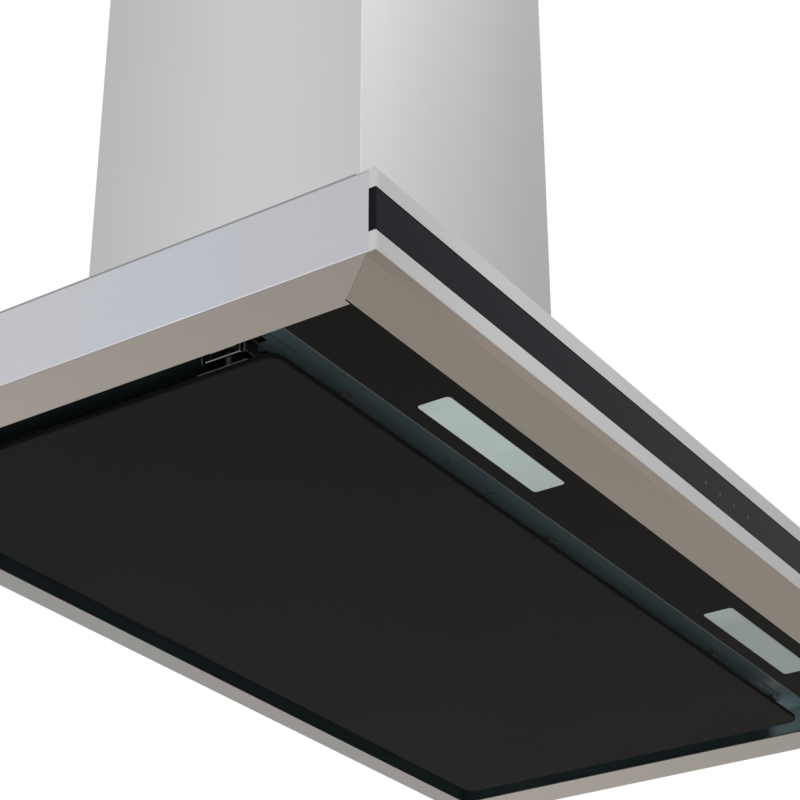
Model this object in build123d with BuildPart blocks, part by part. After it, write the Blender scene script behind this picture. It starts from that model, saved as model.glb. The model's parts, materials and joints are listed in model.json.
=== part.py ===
"""Wall mount canopy range hood with perimeter extraction.

Millimetres, +Z up, +X to the right as seen from the front, -Y towards the room.
The wall is the plane Y = 0. The origin is the centre of the four wall fixing holes
in the back of the blower chassis.
"""

import os
from math import cos, radians, sin

from build123d import *

os.makedirs("parts", exist_ok=True)

# Canopy shell
canopy_width = 900.0
canopy_depth = 500.0
canopy_height = 58.0
sheet = 1.0
hem_radius = 1.4
top_return = 14.0
side_flange = 41.0
rear_flange = 20.0
seam = 0.15

# Fascia with its recess for the glass
fascia_depth = 5.2
fascia_foot_depth = 7.8
lower_band = 14.0
upper_band = 14.0
fascia_lip_height = 8.0
glass_inset = 0.2
glass_gap = 0.15
glass_chamfer = 0.6

# Front rail, mitred into the side flanges
rail_inner = 45.4
mitre_start = 2.0
mitre_end = 35.4
mitre_notch = 1.0

# Touch controls behind the glass
touch_offset = 5.5
touch_window_width = 110.0
touch_window_height = 22.0
touch_cover_wall = 1.5
touch_cover_depth = 12.0
touch_cover_rim = 7.0
board = 1.6

# Light panel and lamps
light_panel_front = 37.0
light_panel_rear = 98.0
tray_lap = 8.0
lens_width = 150.0
lens_depth = 25.0
lens_corner = 3.0
lens_inset = 246.0
lens_front = 59.5
lens_gap = 0.3
lens_lip = 3.0
lens_lip_thickness = 2.0
lamp_wall = 1.2
lamp_height = 15.0
led_size = 4.0
led_height = 0.8
led_count = 8
driver_width = 120.0
driver_depth = 38.0
driver_height = 21.0
driver_tab = 12.0

# Ceiling of the suction cavity
liner_height = 24.0
liner_step = 3.0

# Grease filters
filter_side_margin = 36.0
filter_web = 58.0
filter_opening_front = 131.0
filter_rear_margin = 63.0
filter_gap = 1.5
filter_thickness = 9.0
filter_rail = 14.0
filter_sheet = 1.0
filter_tongue_width = 40.0
filter_tongue = 7.0
mesh_play = 0.3
mesh_strip = 1.2
pleat_count = 10
pleat_flat = 1.5
latch_width = 14.0
latch_inset = 15.0
latch_thickness = 1.5
latch_nose = 5.0
latch_travel = 6.0
latch_play = 0.3
latch_tail = 15.0
latch_hook_radius = 2.2
latch_drop = 4.0

# Perimeter panel
panel_side_margin = 65.0
panel_front = 120.0
panel_rear_margin = 40.0
panel_thickness = 4.0
panel_sheet = 1.0
panel_corner = 10.0
panel_return = 17.0
panel_edge = 0.6

# Hinges along the panel's rear edge
hinge_inset = 115.0
hinge_axis_height = 11.0
hinge_axis_inset = 8.0
hinge_steel = 1.5
hinge_ear_radius = 5.0
hinge_span = 24.0
hinge_side_play = 0.6
hinge_base = 18.0
hinge_pin_radius = 2.0
hinge_running_gap = 0.05
hinge_pin_end = 1.2

# Double roller catches
catch_inset = 72.0
catch_line = 161.5
catch_length = 35.0
catch_side = 28.0
catch_window_length = 19.0
catch_window_height = 4.5
catch_width = 14.0
catch_height = 12.0
catch_steel = 1.2
catch_ear = 8.0
catch_lip = 2.6
roller_radius = 3.0
roller_gap = 2.6
yoke_play = 0.3
yoke_nose_length = 1.8
yoke_margin = 0.5
yoke_steel = 1.2
strike_length = 40.0
strike_width = 11.0
strike_steel = 1.0
tongue_thickness = 2.0
tongue_foot = 7.0
tongue_foot_height = 5.0
tongue_neck = 2.8
tongue_head = 4.6
tongue_height = 16.0
tongue_head_height = 5.0

# Blower chassis
chassis_width = 260.0
chassis_depth = 240.0
chassis_height = 250.0
chassis_sheet = 1.0
chassis_flange = 12.0
fixing_spacing_x = 180.0
fixing_spacing_z = 150.0
fixing_hole_radius = 4.0
cover_lap = 8.0

# Scroll housing and impeller
scroll_wall = 2.0
scroll_width = 130.0
scroll_radius = 88.0
scroll_growth = 8.0
tongue_angle = 48.0
tongue_radius = 6.0
mouth_lean = 18.0
mouth_flange = 8.0
inlet_radius = 61.0
inlet_rim = 5.0
inlet_rim_depth = 3.0
scroll_lug = 14.0
scroll_lug_thickness = 3.0
mouth_flare = 4.0
outlet_rise = 131.0
impeller_radius = 75.0
impeller_width = 114.0
blade_count = 20
blade_depth = 11.0
blade_thickness = 1.2
blade_sweep = 7.0
knee_sweep = 2.8
ring_thickness = 3.0
back_plate = 2.0
hub_radius = 12.0
hub_length = 24.0
shaft_radius = 4.0
shaft_running_gap = 0.05
shaft_stub = 4.0

# Motor
motor_radius = 42.0
motor_start = 20.0
motor_end = 78.0
motor_shoulder_radius = 20.0
motor_shoulder = 6.0
motor_lug_radius = 50.0
motor_lug_width = 12.0
motor_lug_thickness = 2.0
bracket_steel = 2.0
bracket_ring = 50.0
bracket_reach = 75.0
bush_angles = (-100.0, 20.0, 140.0)
arm_width = 14.0
bush_radius = 7.0
bush_height = 4.0

# Capacitor
capacitor_radius = 15.0
capacitor_length = 60.0
capacitor_back = 60.0
capacitor_top_gap = 18.0
clip_steel = 1.2
clip_height = 16.0
clip_side = 7.0
clip_mouth = 13.0
clip_turn = 4.0

# Outlet collar and backdraught flaps
collar_radius = 74.5
collar_wall = 2.0
collar_rise = 48.0
collar_flange = 176.0
collar_flange_thickness = 2.0
collar_opening = 71.0
ledge_radius = 69.0
ledge_height = 14.0
ledge_thickness = 2.0
crossbar_width = 12.0
crossbar_drop = 0.3
flap_radius = 71.5
flap_thickness = 1.2
flap_pivot_offset = 4.0
flap_pin_radius = 1.5
flap_pin_gap = 0.05
flap_pin_reach = 73.0
flap_pin_end_gap = 0.2

# Control box
box_width = 32.0
box_length = 130.0
box_height = 36.0
box_wall = 2.0
box_side_gap = 4.0
box_front = 200.0
lid_thickness = 2.0
lid_plug = 3.0
lid_play = 0.2
standoff_height = 4.0
standoff_width = 5.0
board_margin = 3.0
relay_pitch = 24.0
relay_width = 12.0
relay_depth = 18.0
relay_height = 14.0
gland_hex = 8.0
gland_hex_length = 6.0
gland_bore = 4.0
gland_thread_radius = 6.0
gland_cap_length = 12.0
gland_cap_radius = 7.0

# Flue covers
flue_width = 300.0
flue_depth = 280.0
flue_sheet = 0.8
flue_return = 15.0
flue_corner = 1.6
lower_flue_height = 640.0
upper_flue_height = 660.0
flue_play = 1.2
flue_rear_play = 0.4

# Ceiling bracket inside the upper flue cover
bracket_height = 28.0
bracket_drop = 6.0
bracket_sheet = 1.5
bracket_back = 250.0
bracket_step = 18.0
bracket_arm = 52.0
bracket_slot_pitch = 160.0
bracket_slot_length = 14.0
bracket_slot_radius = 3.0

# Datums worked out from the sizes above
origin_height = canopy_height + chassis_height / 2
front = -canopy_depth
half_width = canopy_width / 2
inner_top = canopy_height - sheet
tray_half_width = half_width - side_flange + liner_step
filter_width = (2 * (tray_half_width - filter_side_margin) - 2 * filter_web) / 3
filter_pitch = filter_width + filter_web
filter_centres = (-filter_pitch, 0.0, filter_pitch)
filter_opening_rear = canopy_depth - filter_rear_margin
lens_pitch = canopy_width - 2 * lens_inset
panel_width = canopy_width - 2 * panel_side_margin
panel_depth = canopy_depth - panel_front - panel_rear_margin
panel_rear = panel_front + panel_depth
hinge_pitch = panel_width - 2 * hinge_inset
hinge_axis_y = front + panel_rear - hinge_axis_inset
chassis_top = canopy_height + chassis_height
outlet_y = -chassis_depth / 2
mouth_z = chassis_top - chassis_sheet - origin_height
shaft_z = mouth_z - outlet_rise
mouth_front = mouth_lean - scroll_radius - scroll_growth
mouth_rear = (
    scroll_growth + (scroll_radius - scroll_growth) * cos(radians(tongue_angle)) + mouth_flare
)
shaft_y = outlet_y - (mouth_front + mouth_rear) / 2
bush_spots = [
    (shaft_y + bracket_reach * cos(radians(angle)), shaft_z + bracket_reach * sin(radians(angle)))
    for angle in bush_angles
]
hand = {"left": -1.0, "right": 1.0}


def level(height):
    """Z of a height above the canopy's underside."""
    return height - origin_height


def folded(points, thickness, side):
    """Section of a sheet folded along the corner points of one of its faces."""
    with BuildLine() as outline:
        Polyline(*points)
        offset(amount=thickness, side=side, kind=Kind.INTERSECTION)
    make_face(outline.edges())


def block(x_range, y_range, heights, mode=Mode.ADD):
    """Rectangular stretch between two X, two Y and two heights above the underside."""
    middle = (sum(x_range) / 2, sum(y_range) / 2, level(sum(heights) / 2))
    with Locations(middle):
        Box(
            x_range[1] - x_range[0],
            y_range[1] - y_range[0],
            heights[1] - heights[0],
            mode=mode,
        )


def turned(start, end, radius, mode=Mode.ADD, spot=None):
    """Round stretch between two X, on the shaft or round another (Y, Z) spot."""
    y, z = spot or (shaft_y, shaft_z)
    with Locations(Location(((start + end) / 2, y, z), (0, 90, 0))):
        Cylinder(radius, end - start, mode=mode)


def mirrored(part):
    """The same piece on the other side of the hood's middle plane."""
    with BuildPart() as other:
        mirror(part, about=Plane.YZ)
    return other.part


# Canopy top: flat sheet behind the fascia, open under the blower chassis
throat_width = chassis_width - 2 * chassis_sheet - 2 * chassis_flange
throat_depth = chassis_depth - 2 * chassis_sheet - 2 * chassis_flange

with BuildPart() as canopy_top:
    block((-half_width, half_width), (front + top_return, 0), (inner_top, canopy_height))
    block(
        (-throat_width / 2, throat_width / 2),
        (outlet_y - throat_depth / 2, outlet_y + throat_depth / 2),
        (inner_top, canopy_height),
        Mode.SUBTRACT,
    )
canopy_top.part.label = "canopy_top"
export_step(canopy_top.part, "parts/canopy_top.step")

# Side panels: wall, top return and bottom flange, with the flange mitred at the front
with BuildPart() as side_panel:
    with BuildSketch(Plane.XZ.offset(sheet)):
        folded(
            [
                (-half_width + top_return, level(inner_top)),
                (-half_width, level(inner_top)),
                (-half_width, level(0)),
                (-half_width + side_flange, level(0)),
            ],
            sheet,
            Side.LEFT,
        )
    extrude(amount=canopy_depth - fascia_depth - sheet)
    hem = side_panel.edges().filter_by(Axis.Y).group_by(Axis.X)[0].sort_by(Axis.Z)[0]
    fillet(hem, hem_radius)
    with BuildSketch(Plane.XY.offset(level(-sheet))):
        with BuildLine():
            Polyline(
                (-half_width + sheet, front),
                (-half_width + sheet, front + fascia_foot_depth),
                (-half_width + mitre_start, front + fascia_foot_depth),
                (-half_width + mitre_end, front + rail_inner),
                (-half_width + mitre_end, front + rail_inner + mitre_notch),
                (-half_width + side_flange + sheet, front + rail_inner + mitre_notch),
                (-half_width + side_flange + sheet, front),
                close=True,
            )
        make_face()
    extrude(amount=3 * sheet, mode=Mode.SUBTRACT)
side_panel_left = side_panel.part
side_panel_right = mirrored(side_panel_left)
side_panel_left.label = "side_panel_left"
export_step(side_panel_left, "parts/side_panel_left.step")
side_panel_right.label = "side_panel_right"
export_step(side_panel_right, "parts/side_panel_right.step")

# Rear panel against the wall, with its flanges between those of the side panels
with BuildPart() as rear_panel:
    with BuildSketch(Plane.YZ):
        folded(
            [
                (-top_return, level(inner_top)),
                (0, level(inner_top)),
                (0, level(0)),
                (-rear_flange, level(0)),
            ],
            sheet,
            Side.RIGHT,
        )
    extrude(amount=half_width, both=True)
    for sign in hand.values():
        ends = sorted((sign * (half_width - top_return - seam), sign * half_width))
        block(ends, (-rear_flange, -sheet), (canopy_height / 2, canopy_height), Mode.SUBTRACT)
        ends = sorted((sign * (half_width - side_flange - seam), sign * half_width))
        block(ends, (-rear_flange, -sheet), (0, canopy_height / 2), Mode.SUBTRACT)
rear_panel.part.label = "rear_panel"
export_step(rear_panel.part, "parts/rear_panel.step")

# Fascia: one folded sheet, upper and lower band round the glass recess, bands closed at both ends
glass_bottom = lower_band
glass_top = canopy_height - upper_band
glass_middle = (glass_bottom + glass_top) / 2

with BuildPart() as fascia:
    with BuildSketch(Plane.YZ):
        folded(
            [
                (front + top_return, level(canopy_height)),
                (front, level(canopy_height)),
                (front, level(glass_top)),
                (front + fascia_depth, level(glass_top)),
                (front + fascia_depth, level(glass_bottom)),
                (front, level(glass_bottom)),
                (front, level(0)),
                (front + fascia_foot_depth, level(0)),
                (front + fascia_foot_depth, level(fascia_lip_height)),
            ],
            sheet,
            Side.LEFT,
        )
    extrude(amount=half_width, both=True)
    for sign in hand.values():
        ends = sorted((sign * (half_width - sheet - seam), sign * (half_width + sheet)))
        behind = (front + fascia_depth, front + top_return)
        block(ends, behind, (-sheet, inner_top), Mode.SUBTRACT)
        cap = sorted((sign * (half_width - sheet), sign * half_width))
        block(cap, (front, front + fascia_depth), (0, glass_bottom))
        block(cap, (front, front + fascia_depth), (glass_top, canopy_height))
    with BuildSketch(Plane.XZ.offset(-front - fascia_depth)):
        with Locations((touch_offset, level(glass_middle))):
            Rectangle(touch_window_width, touch_window_height)
    extrude(amount=-2 * sheet, mode=Mode.SUBTRACT)
    face_edges = fascia.edges().filter_by(Axis.X).group_by(Axis.Y)[0]
    fillet([face_edges.sort_by(Axis.Z)[0], face_edges.sort_by(Axis.Z)[-1]], hem_radius)
fascia.part.label = "fascia"
export_step(fascia.part, "parts/fascia.step")

# Front rail: bottom flange behind the fascia's foot, mitred at both ends
with BuildPart() as front_rail:
    with BuildSketch(Plane.XY.offset(level(0))):
        with BuildLine():
            Polyline(
                (-half_width + mitre_start + seam, front + fascia_foot_depth),
                (half_width - mitre_start - seam, front + fascia_foot_depth),
                (half_width - mitre_end - seam, front + rail_inner),
                (-half_width + mitre_end + seam, front + rail_inner),
                close=True,
            )
        make_face()
    extrude(amount=sheet)
    block(
        (-half_width + top_return, half_width - top_return),
        (front + fascia_foot_depth, front + fascia_foot_depth + sheet),
        (0, fascia_lip_height),
    )
    fold = front_rail.edges().filter_by(Axis.X).group_by(Axis.Y)[0].sort_by(Axis.Z)[0]
    fillet(fold, sheet / 2)
front_rail.part.label = "front_rail"
export_step(front_rail.part, "parts/front_rail.step")

# Corner gussets that tie the front rail to the side flanges behind the mitres
with BuildPart() as corner_gussets:
    with BuildSketch(Plane.XY.offset(level(sheet))):
        for sign in hand.values():
            with BuildLine():
                Polyline(
                    (sign * (half_width - sheet), front + fascia_foot_depth + 2 * sheet),
                    (sign * (half_width - mitre_end + sheet), front + fascia_foot_depth + 2 * sheet),
                    (sign * (half_width - mitre_end + sheet), front + light_panel_front - sheet),
                    (sign * (half_width - sheet), front + light_panel_front - sheet),
                    close=True,
                )
            make_face()
    extrude(amount=sheet)
corner_gussets.part.label = "corner_gussets"
export_step(corner_gussets.part, "parts/corner_gussets.step")

# Black glass strip, its back on the wall of the recess
with BuildPart() as glass_strip:
    block(
        (-half_width + glass_inset, half_width - glass_inset),
        (front + glass_inset, front + fascia_depth),
        (glass_bottom + glass_gap, glass_top - glass_gap),
    )
    chamfer(glass_strip.faces().sort_by(Axis.Y)[0].edges(), glass_chamfer)
glass_strip.part.label = "glass_strip"
export_step(glass_strip.part, "parts/glass_strip.step")

# Touch board against the back of the glass, in the window of the recess wall
with BuildPart() as touch_board:
    with BuildSketch(Plane.XZ.offset(-front - fascia_depth)):
        with Locations((touch_offset, level(glass_middle))):
            Rectangle(touch_window_width - 2 * sheet, touch_window_height - 2 * sheet)
    extrude(amount=-board)
    with BuildSketch(Plane.XZ.offset(-front - fascia_depth - board)):
        with Locations((touch_offset, level(glass_middle))):
            with GridLocations(touch_window_width / 5, 0, 4, 1):
                Rectangle(touch_window_height / 4, touch_window_height / 4)
    extrude(amount=-board)
touch_board.part.label = "touch_board"
export_step(touch_board.part, "parts/touch_board.step")

with BuildPart() as touch_board_cover:
    back_plane = Plane.XZ.offset(-front - fascia_depth - sheet)
    with BuildSketch(back_plane):
        with Locations((touch_offset, level(glass_middle))):
            Rectangle(touch_window_width + 2 * touch_cover_rim, touch_window_height + touch_cover_rim)
    extrude(amount=-touch_cover_depth)
    with BuildSketch(back_plane):
        with Locations((touch_offset, level(glass_middle))):
            Rectangle(touch_window_width, touch_window_height)
    extrude(amount=-touch_cover_depth + touch_cover_wall, mode=Mode.SUBTRACT)
    chamfer(touch_board_cover.faces().sort_by(Axis.Y)[-1].edges(), touch_cover_wall / 2)
touch_board_cover.part.label = "touch_board_cover"
export_step(touch_board_cover.part, "parts/touch_board_cover.step")

# Light panel: floor with the two lamp openings and a turned-up rear wall
lens_middle = front + lens_front + lens_depth / 2

with BuildPart() as light_panel:
    with BuildSketch(Plane.YZ):
        folded(
            [
                (front + light_panel_front, level(sheet)),
                (front + light_panel_rear, level(sheet)),
                (front + light_panel_rear, level(liner_height)),
            ],
            sheet,
            Side.LEFT,
        )
    extrude(amount=half_width - side_flange + tray_lap, both=True)
    for sign in hand.values():
        ends = sorted((sign * (tray_half_width + sheet), sign * half_width))
        block(ends, (front, front + light_panel_rear), (2 * sheet, canopy_height), Mode.SUBTRACT)
    bend = light_panel.edges().filter_by(Axis.X).group_by(Axis.Y)[-1].sort_by(Axis.Z)[0]
    fillet(bend, sheet)
    with BuildSketch(Plane.XY.offset(level(sheet))):
        with Locations((0, lens_middle)):
            with GridLocations(lens_pitch, 0, 2, 1):
                RectangleRounded(
                    lens_width + 2 * lens_gap, lens_depth + 2 * lens_gap, lens_corner + lens_gap
                )
    extrude(amount=sheet, mode=Mode.SUBTRACT)
light_panel.part.label = "light_panel"
export_step(light_panel.part, "parts/light_panel.step")

# Frosted lenses, flush with the light panel's underside, held by a lip above it
with BuildPart() as lamp_lenses:
    with BuildSketch(Plane.XY.offset(level(sheet))):
        with Locations((0, lens_middle)):
            with GridLocations(lens_pitch, 0, 2, 1):
                RectangleRounded(lens_width, lens_depth, lens_corner)
    extrude(amount=sheet)
    with BuildSketch(Plane.XY.offset(level(2 * sheet))):
        with Locations((0, lens_middle)):
            with GridLocations(lens_pitch, 0, 2, 1):
                Rectangle(lens_width + 2 * lens_lip, lens_depth + 2 * lens_lip)
    extrude(amount=lens_lip_thickness)
lamp_lenses.part.label = "lamp_lenses"
export_step(lamp_lenses.part, "parts/lamp_lenses.step")

# Lamp housings: pressed covers over the lenses, with a foot all round
lamp_width = lens_width + 2 * lens_lip + 2 * seam + 2 * lamp_wall
lamp_depth = lens_depth + 2 * lens_lip + 2 * seam + 2 * lamp_wall

with BuildPart() as lamp_housings:
    with BuildSketch(Plane.XY.offset(level(2 * sheet))):
        with Locations((0, lens_middle)):
            with GridLocations(lens_pitch, 0, 2, 1):
                Rectangle(lamp_width, lamp_depth)
    extrude(amount=lamp_height)
    roof = lamp_housings.faces().group_by(Axis.Z)[-1]
    chamfer(roof.edges(), lamp_wall)
    with BuildSketch(Plane.XY.offset(level(2 * sheet))):
        with Locations((0, lens_middle)):
            with GridLocations(lens_pitch, 0, 2, 1):
                Rectangle(lamp_width - 2 * lamp_wall, lamp_depth - 2 * lamp_wall)
    extrude(amount=lamp_height - lamp_wall, mode=Mode.SUBTRACT)
    with BuildSketch(Plane.XY.offset(level(2 * sheet))):
        with Locations((0, lens_middle)):
            with GridLocations(lens_pitch, 0, 2, 1):
                Rectangle(lamp_width + 2 * lens_lip, lamp_depth)
                Rectangle(lamp_width - 2 * lamp_wall, lamp_depth - 2 * lamp_wall, mode=Mode.SUBTRACT)
    extrude(amount=lamp_wall)
lamp_housings.part.label = "lamp_housings"
export_step(lamp_housings.part, "parts/lamp_housings.step")

# Strip boards under the roofs of the lamp housings, with their rows of LEDs
with BuildPart() as lamp_boards:
    board_top = 2 * sheet + lamp_height - lamp_wall
    with BuildSketch(Plane.XY.offset(level(board_top - board))):
        with Locations((0, lens_middle)):
            with GridLocations(lens_pitch, 0, 2, 1):
                Rectangle(lens_width, lens_depth / 2)
    extrude(amount=board)
    with BuildSketch(Plane.XY.offset(level(board_top - board - led_height))):
        with Locations((0, lens_middle)):
            with GridLocations(lens_pitch, 0, 2, 1):
                with GridLocations(lens_width / led_count, 0, led_count, 1):
                    Rectangle(led_size, led_size)
    extrude(amount=led_height)
lamp_boards.part.label = "lamp_boards"
export_step(lamp_boards.part, "parts/lamp_boards.step")

# LED driver between the lamps, on the light panel
with BuildPart() as led_driver:
    driver_plane = Plane.XY.offset(level(2 * sheet))
    with BuildSketch(driver_plane):
        with Locations((0, lens_middle)):
            Rectangle(driver_width, driver_depth)
    extrude(amount=driver_height)
    chamfer(led_driver.faces().sort_by(Axis.Z)[-1].edges(), lamp_wall)
    with BuildSketch(driver_plane):
        with Locations((0, lens_middle)):
            Rectangle(driver_width + 2 * driver_tab, driver_depth / 2)
    extrude(amount=2 * lamp_wall)
led_driver.part.label = "led_driver"
export_step(led_driver.part, "parts/led_driver.step")

# Ceiling tray of the suction cavity: stands on the side and rear flanges, open at the front
filter_opening_depth = filter_opening_rear - filter_opening_front
filter_middle = front + (filter_opening_front + filter_opening_rear) / 2

with BuildPart() as liner:
    block(
        (-tray_half_width - sheet, tray_half_width + sheet),
        (front + light_panel_rear, -rear_flange + liner_step + sheet),
        (sheet, liner_height + sheet),
    )
    block(
        (-tray_half_width, tray_half_width),
        (front + light_panel_rear, -rear_flange + liner_step),
        (sheet, liner_height),
        Mode.SUBTRACT,
    )
    block(
        (-tray_half_width - sheet, tray_half_width + sheet),
        (front + light_panel_rear - sheet, front + light_panel_rear),
        (liner_height, liner_height + sheet),
    )
    with BuildSketch(Plane.XY.offset(level(liner_height))):
        with Locations((0, filter_middle)):
            with GridLocations(filter_pitch, 0, 3, 1):
                Rectangle(filter_width, filter_opening_depth)
    extrude(amount=sheet, mode=Mode.SUBTRACT)
liner.part.label = "liner"
export_step(liner.part, "parts/liner.step")

# Grease filters: channel frame, pleated mesh and a sprung latch each
frame_width = filter_width - 2 * filter_gap
frame_depth = filter_opening_depth - 2 * filter_gap
frame_front = filter_middle - frame_depth / 2
frame_rear = filter_middle + frame_depth / 2
latch_level = liner_height + sheet
mesh_bottom = liner_height + filter_sheet
mesh_height = filter_thickness - 2 * filter_sheet
latch_pocket = filter_rail + latch_tail / 2 + latch_travel

for number, middle in enumerate(filter_centres, start=1):
    latch_middle = middle - latch_inset
    with BuildPart() as filter_frame:
        with BuildSketch(Plane.XY.offset(level(liner_height))):
            with Locations((middle, filter_middle)):
                Rectangle(frame_width, frame_depth)
                Rectangle(
                    frame_width - 2 * filter_rail, frame_depth - 2 * filter_rail, mode=Mode.SUBTRACT
                )
        extrude(amount=filter_thickness)
        with BuildSketch(Plane.XY.offset(level(mesh_bottom))):
            with Locations((middle, filter_middle)):
                Rectangle(frame_width - 2 * filter_sheet, frame_depth - 2 * filter_sheet)
        extrude(amount=mesh_height, mode=Mode.SUBTRACT)
        with BuildSketch(Plane.XY.offset(level(liner_height + sheet))):
            with Locations((middle, frame_rear + (filter_tongue - filter_sheet) / 2)):
                with GridLocations(frame_width / 2, 0, 2, 1):
                    Rectangle(filter_tongue_width, filter_tongue + filter_sheet)
        extrude(amount=filter_sheet)
        slot_half = latch_width / 2 + latch_play
        latch_slot = (latch_middle - slot_half, latch_middle + slot_half)
        block(
            latch_slot,
            (frame_front - filter_sheet, frame_front + 2 * filter_sheet),
            (liner_height + filter_sheet, latch_level + latch_thickness + latch_play),
            Mode.SUBTRACT,
        )
        block(
            latch_slot,
            (frame_front + 2 * filter_sheet, frame_front + filter_rail),
            (liner_height, mesh_bottom),
            Mode.SUBTRACT,
        )
    filter_frame.part.label = f"filter_frame_{number}"
    export_step(filter_frame.part, f"parts/filter_frame_{number}.step")

    with BuildPart() as filter_mesh:
        mesh_width = frame_width - 2 * filter_sheet - 2 * mesh_play
        pleat = mesh_width / pleat_count
        crest = mesh_bottom + mesh_height - mesh_play
        with BuildSketch(Plane.XZ.offset(-frame_rear + filter_sheet + mesh_play)):
            with BuildLine():
                lower_points = []
                for i in range(pleat_count):
                    x = middle - mesh_width / 2 + i * pleat
                    lower_points += [
                        (x, level(mesh_bottom)),
                        (x + pleat_flat, level(mesh_bottom)),
                        (x + pleat / 2, level(crest - mesh_strip)),
                        (x + pleat / 2 + pleat_flat, level(crest - mesh_strip)),
                    ]
                lower_points += [
                    (middle + mesh_width / 2, level(mesh_bottom)),
                ]
                upper_points = [(x, z + mesh_strip) for x, z in reversed(lower_points)]
                Polyline(*lower_points, *upper_points, close=True)
            make_face()
        extrude(amount=frame_depth - 2 * filter_sheet - 2 * mesh_play)
        block(
            (latch_middle - latch_width, latch_middle + latch_width),
            (frame_front - filter_sheet, frame_front + latch_pocket),
            (liner_height, liner_height + filter_thickness),
            Mode.SUBTRACT,
        )
    filter_mesh.part.label = f"filter_mesh_{number}"
    export_step(filter_mesh.part, f"parts/filter_mesh_{number}.step")

    with BuildPart() as filter_latch:
        nose_y = frame_front - filter_gap - latch_nose
        tail_y = nose_y + latch_nose + filter_gap + latch_tail - latch_travel
        hook_y = tail_y - latch_hook_radius - latch_thickness
        hook_z = level(latch_level)
        with BuildSketch(Plane.YZ.offset(latch_middle - latch_width / 2)):
            with BuildLine():
                plate = Line((nose_y, hook_z), (hook_y, hook_z))
                curl = JernArc(plate @ 1, (1, 0), latch_hook_radius, -180)
                Line(curl @ 1, curl @ 1 - (latch_drop, 0))
                offset(amount=latch_thickness, side=Side.LEFT)
            make_face()
        extrude(amount=latch_width)
        nose = filter_latch.faces().sort_by(Axis.Y)[0]
        chamfer(nose.edges().filter_by(Axis.Z), latch_nose / 2)
    filter_latch.part.label = f"filter_latch_{number}"
    export_step(filter_latch.part, f"parts/filter_latch_{number}.step")

# Perimeter panel: shallow pan with a return all round, rounded corners, flush with the canopy's underside
panel_middle = front + panel_front + panel_depth / 2

with BuildPart() as perimeter_panel:
    with BuildSketch(Plane.XY.offset(level(0))):
        with Locations((0, panel_middle)):
            RectangleRounded(panel_width, panel_depth, panel_corner)
    extrude(amount=panel_thickness)
    chamfer(perimeter_panel.faces().sort_by(Axis.Z)[0].edges(), panel_edge)
    with BuildSketch(Plane.XY.offset(level(panel_sheet))):
        with Locations((0, panel_middle)):
            RectangleRounded(
                panel_width - 2 * panel_sheet, panel_depth - 2 * panel_sheet, panel_corner - panel_sheet
            )
    extrude(amount=panel_thickness - 2 * panel_sheet, mode=Mode.SUBTRACT)
    with BuildSketch(Plane.XY.offset(level(panel_thickness - panel_sheet))):
        with Locations((0, panel_middle)):
            Rectangle(panel_width - 2 * panel_return, panel_depth - 2 * panel_return)
    extrude(amount=panel_sheet, mode=Mode.SUBTRACT)
perimeter_panel.part.label = "perimeter_panel"
export_step(perimeter_panel.part, "parts/perimeter_panel.step")

# Hinge brackets under the ceiling: a base plate with two ears that hold the pin
hinge_spots = (-hinge_pitch / 2, hinge_pitch / 2)
hinge_axis_z = level(hinge_axis_height)

with BuildPart() as hinge_brackets:
    for spot in hinge_spots:
        block(
            (spot - hinge_span / 2, spot + hinge_span / 2),
            (hinge_axis_y - hinge_base, hinge_axis_y + hinge_ear_radius),
            (liner_height - hinge_steel, liner_height),
        )
        for ear in (-hinge_span / 2, hinge_span / 2 - hinge_steel):
            with BuildSketch(Plane.YZ.offset(spot + ear)):
                with BuildLine():
                    Polyline(
                        (hinge_axis_y - hinge_ear_radius, level(liner_height)),
                        (hinge_axis_y - hinge_ear_radius, hinge_axis_z),
                        (hinge_axis_y - hinge_ear_radius / 2, hinge_axis_z - hinge_ear_radius),
                        (hinge_axis_y + hinge_ear_radius / 2, hinge_axis_z - hinge_ear_radius),
                        (hinge_axis_y + hinge_ear_radius, hinge_axis_z),
                        (hinge_axis_y + hinge_ear_radius, level(liner_height)),
                        close=True,
                    )
                make_face()
                with Locations((hinge_axis_y, hinge_axis_z)):
                    Circle(hinge_pin_radius, mode=Mode.SUBTRACT)
            extrude(amount=hinge_steel)
hinge_brackets.part.label = "hinge_brackets"
export_step(hinge_brackets.part, "parts/hinge_brackets.step")

# Hinge knuckles on the panel's return: a base plate and a barrel between the ears
knuckle_half = hinge_span / 2 - hinge_steel - hinge_side_play

with BuildPart() as hinge_knuckles:
    for spot in hinge_spots:
        block(
            (spot - knuckle_half, spot + knuckle_half),
            (hinge_axis_y - hinge_ear_radius, hinge_axis_y + hinge_axis_inset - panel_sheet),
            (panel_thickness, panel_thickness + hinge_steel),
        )
        with BuildSketch(Plane.YZ.offset(spot - knuckle_half)):
            with Locations((hinge_axis_y, hinge_axis_z)):
                Circle(hinge_ear_radius - hinge_side_play)
            with BuildLine():
                Polyline(
                    (hinge_axis_y - hinge_ear_radius + hinge_side_play, hinge_axis_z),
                    (hinge_axis_y + hinge_ear_radius - hinge_side_play, hinge_axis_z),
                    (hinge_axis_y + hinge_ear_radius - hinge_side_play, level(panel_thickness)),
                    (hinge_axis_y - hinge_ear_radius + hinge_side_play, level(panel_thickness)),
                    close=True,
                )
            make_face()
            with Locations((hinge_axis_y, hinge_axis_z)):
                Circle(hinge_pin_radius + hinge_running_gap, mode=Mode.SUBTRACT)
        extrude(amount=2 * knuckle_half)
hinge_knuckles.part.label = "hinge_knuckles"
export_step(hinge_knuckles.part, "parts/hinge_knuckles.step")

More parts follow.
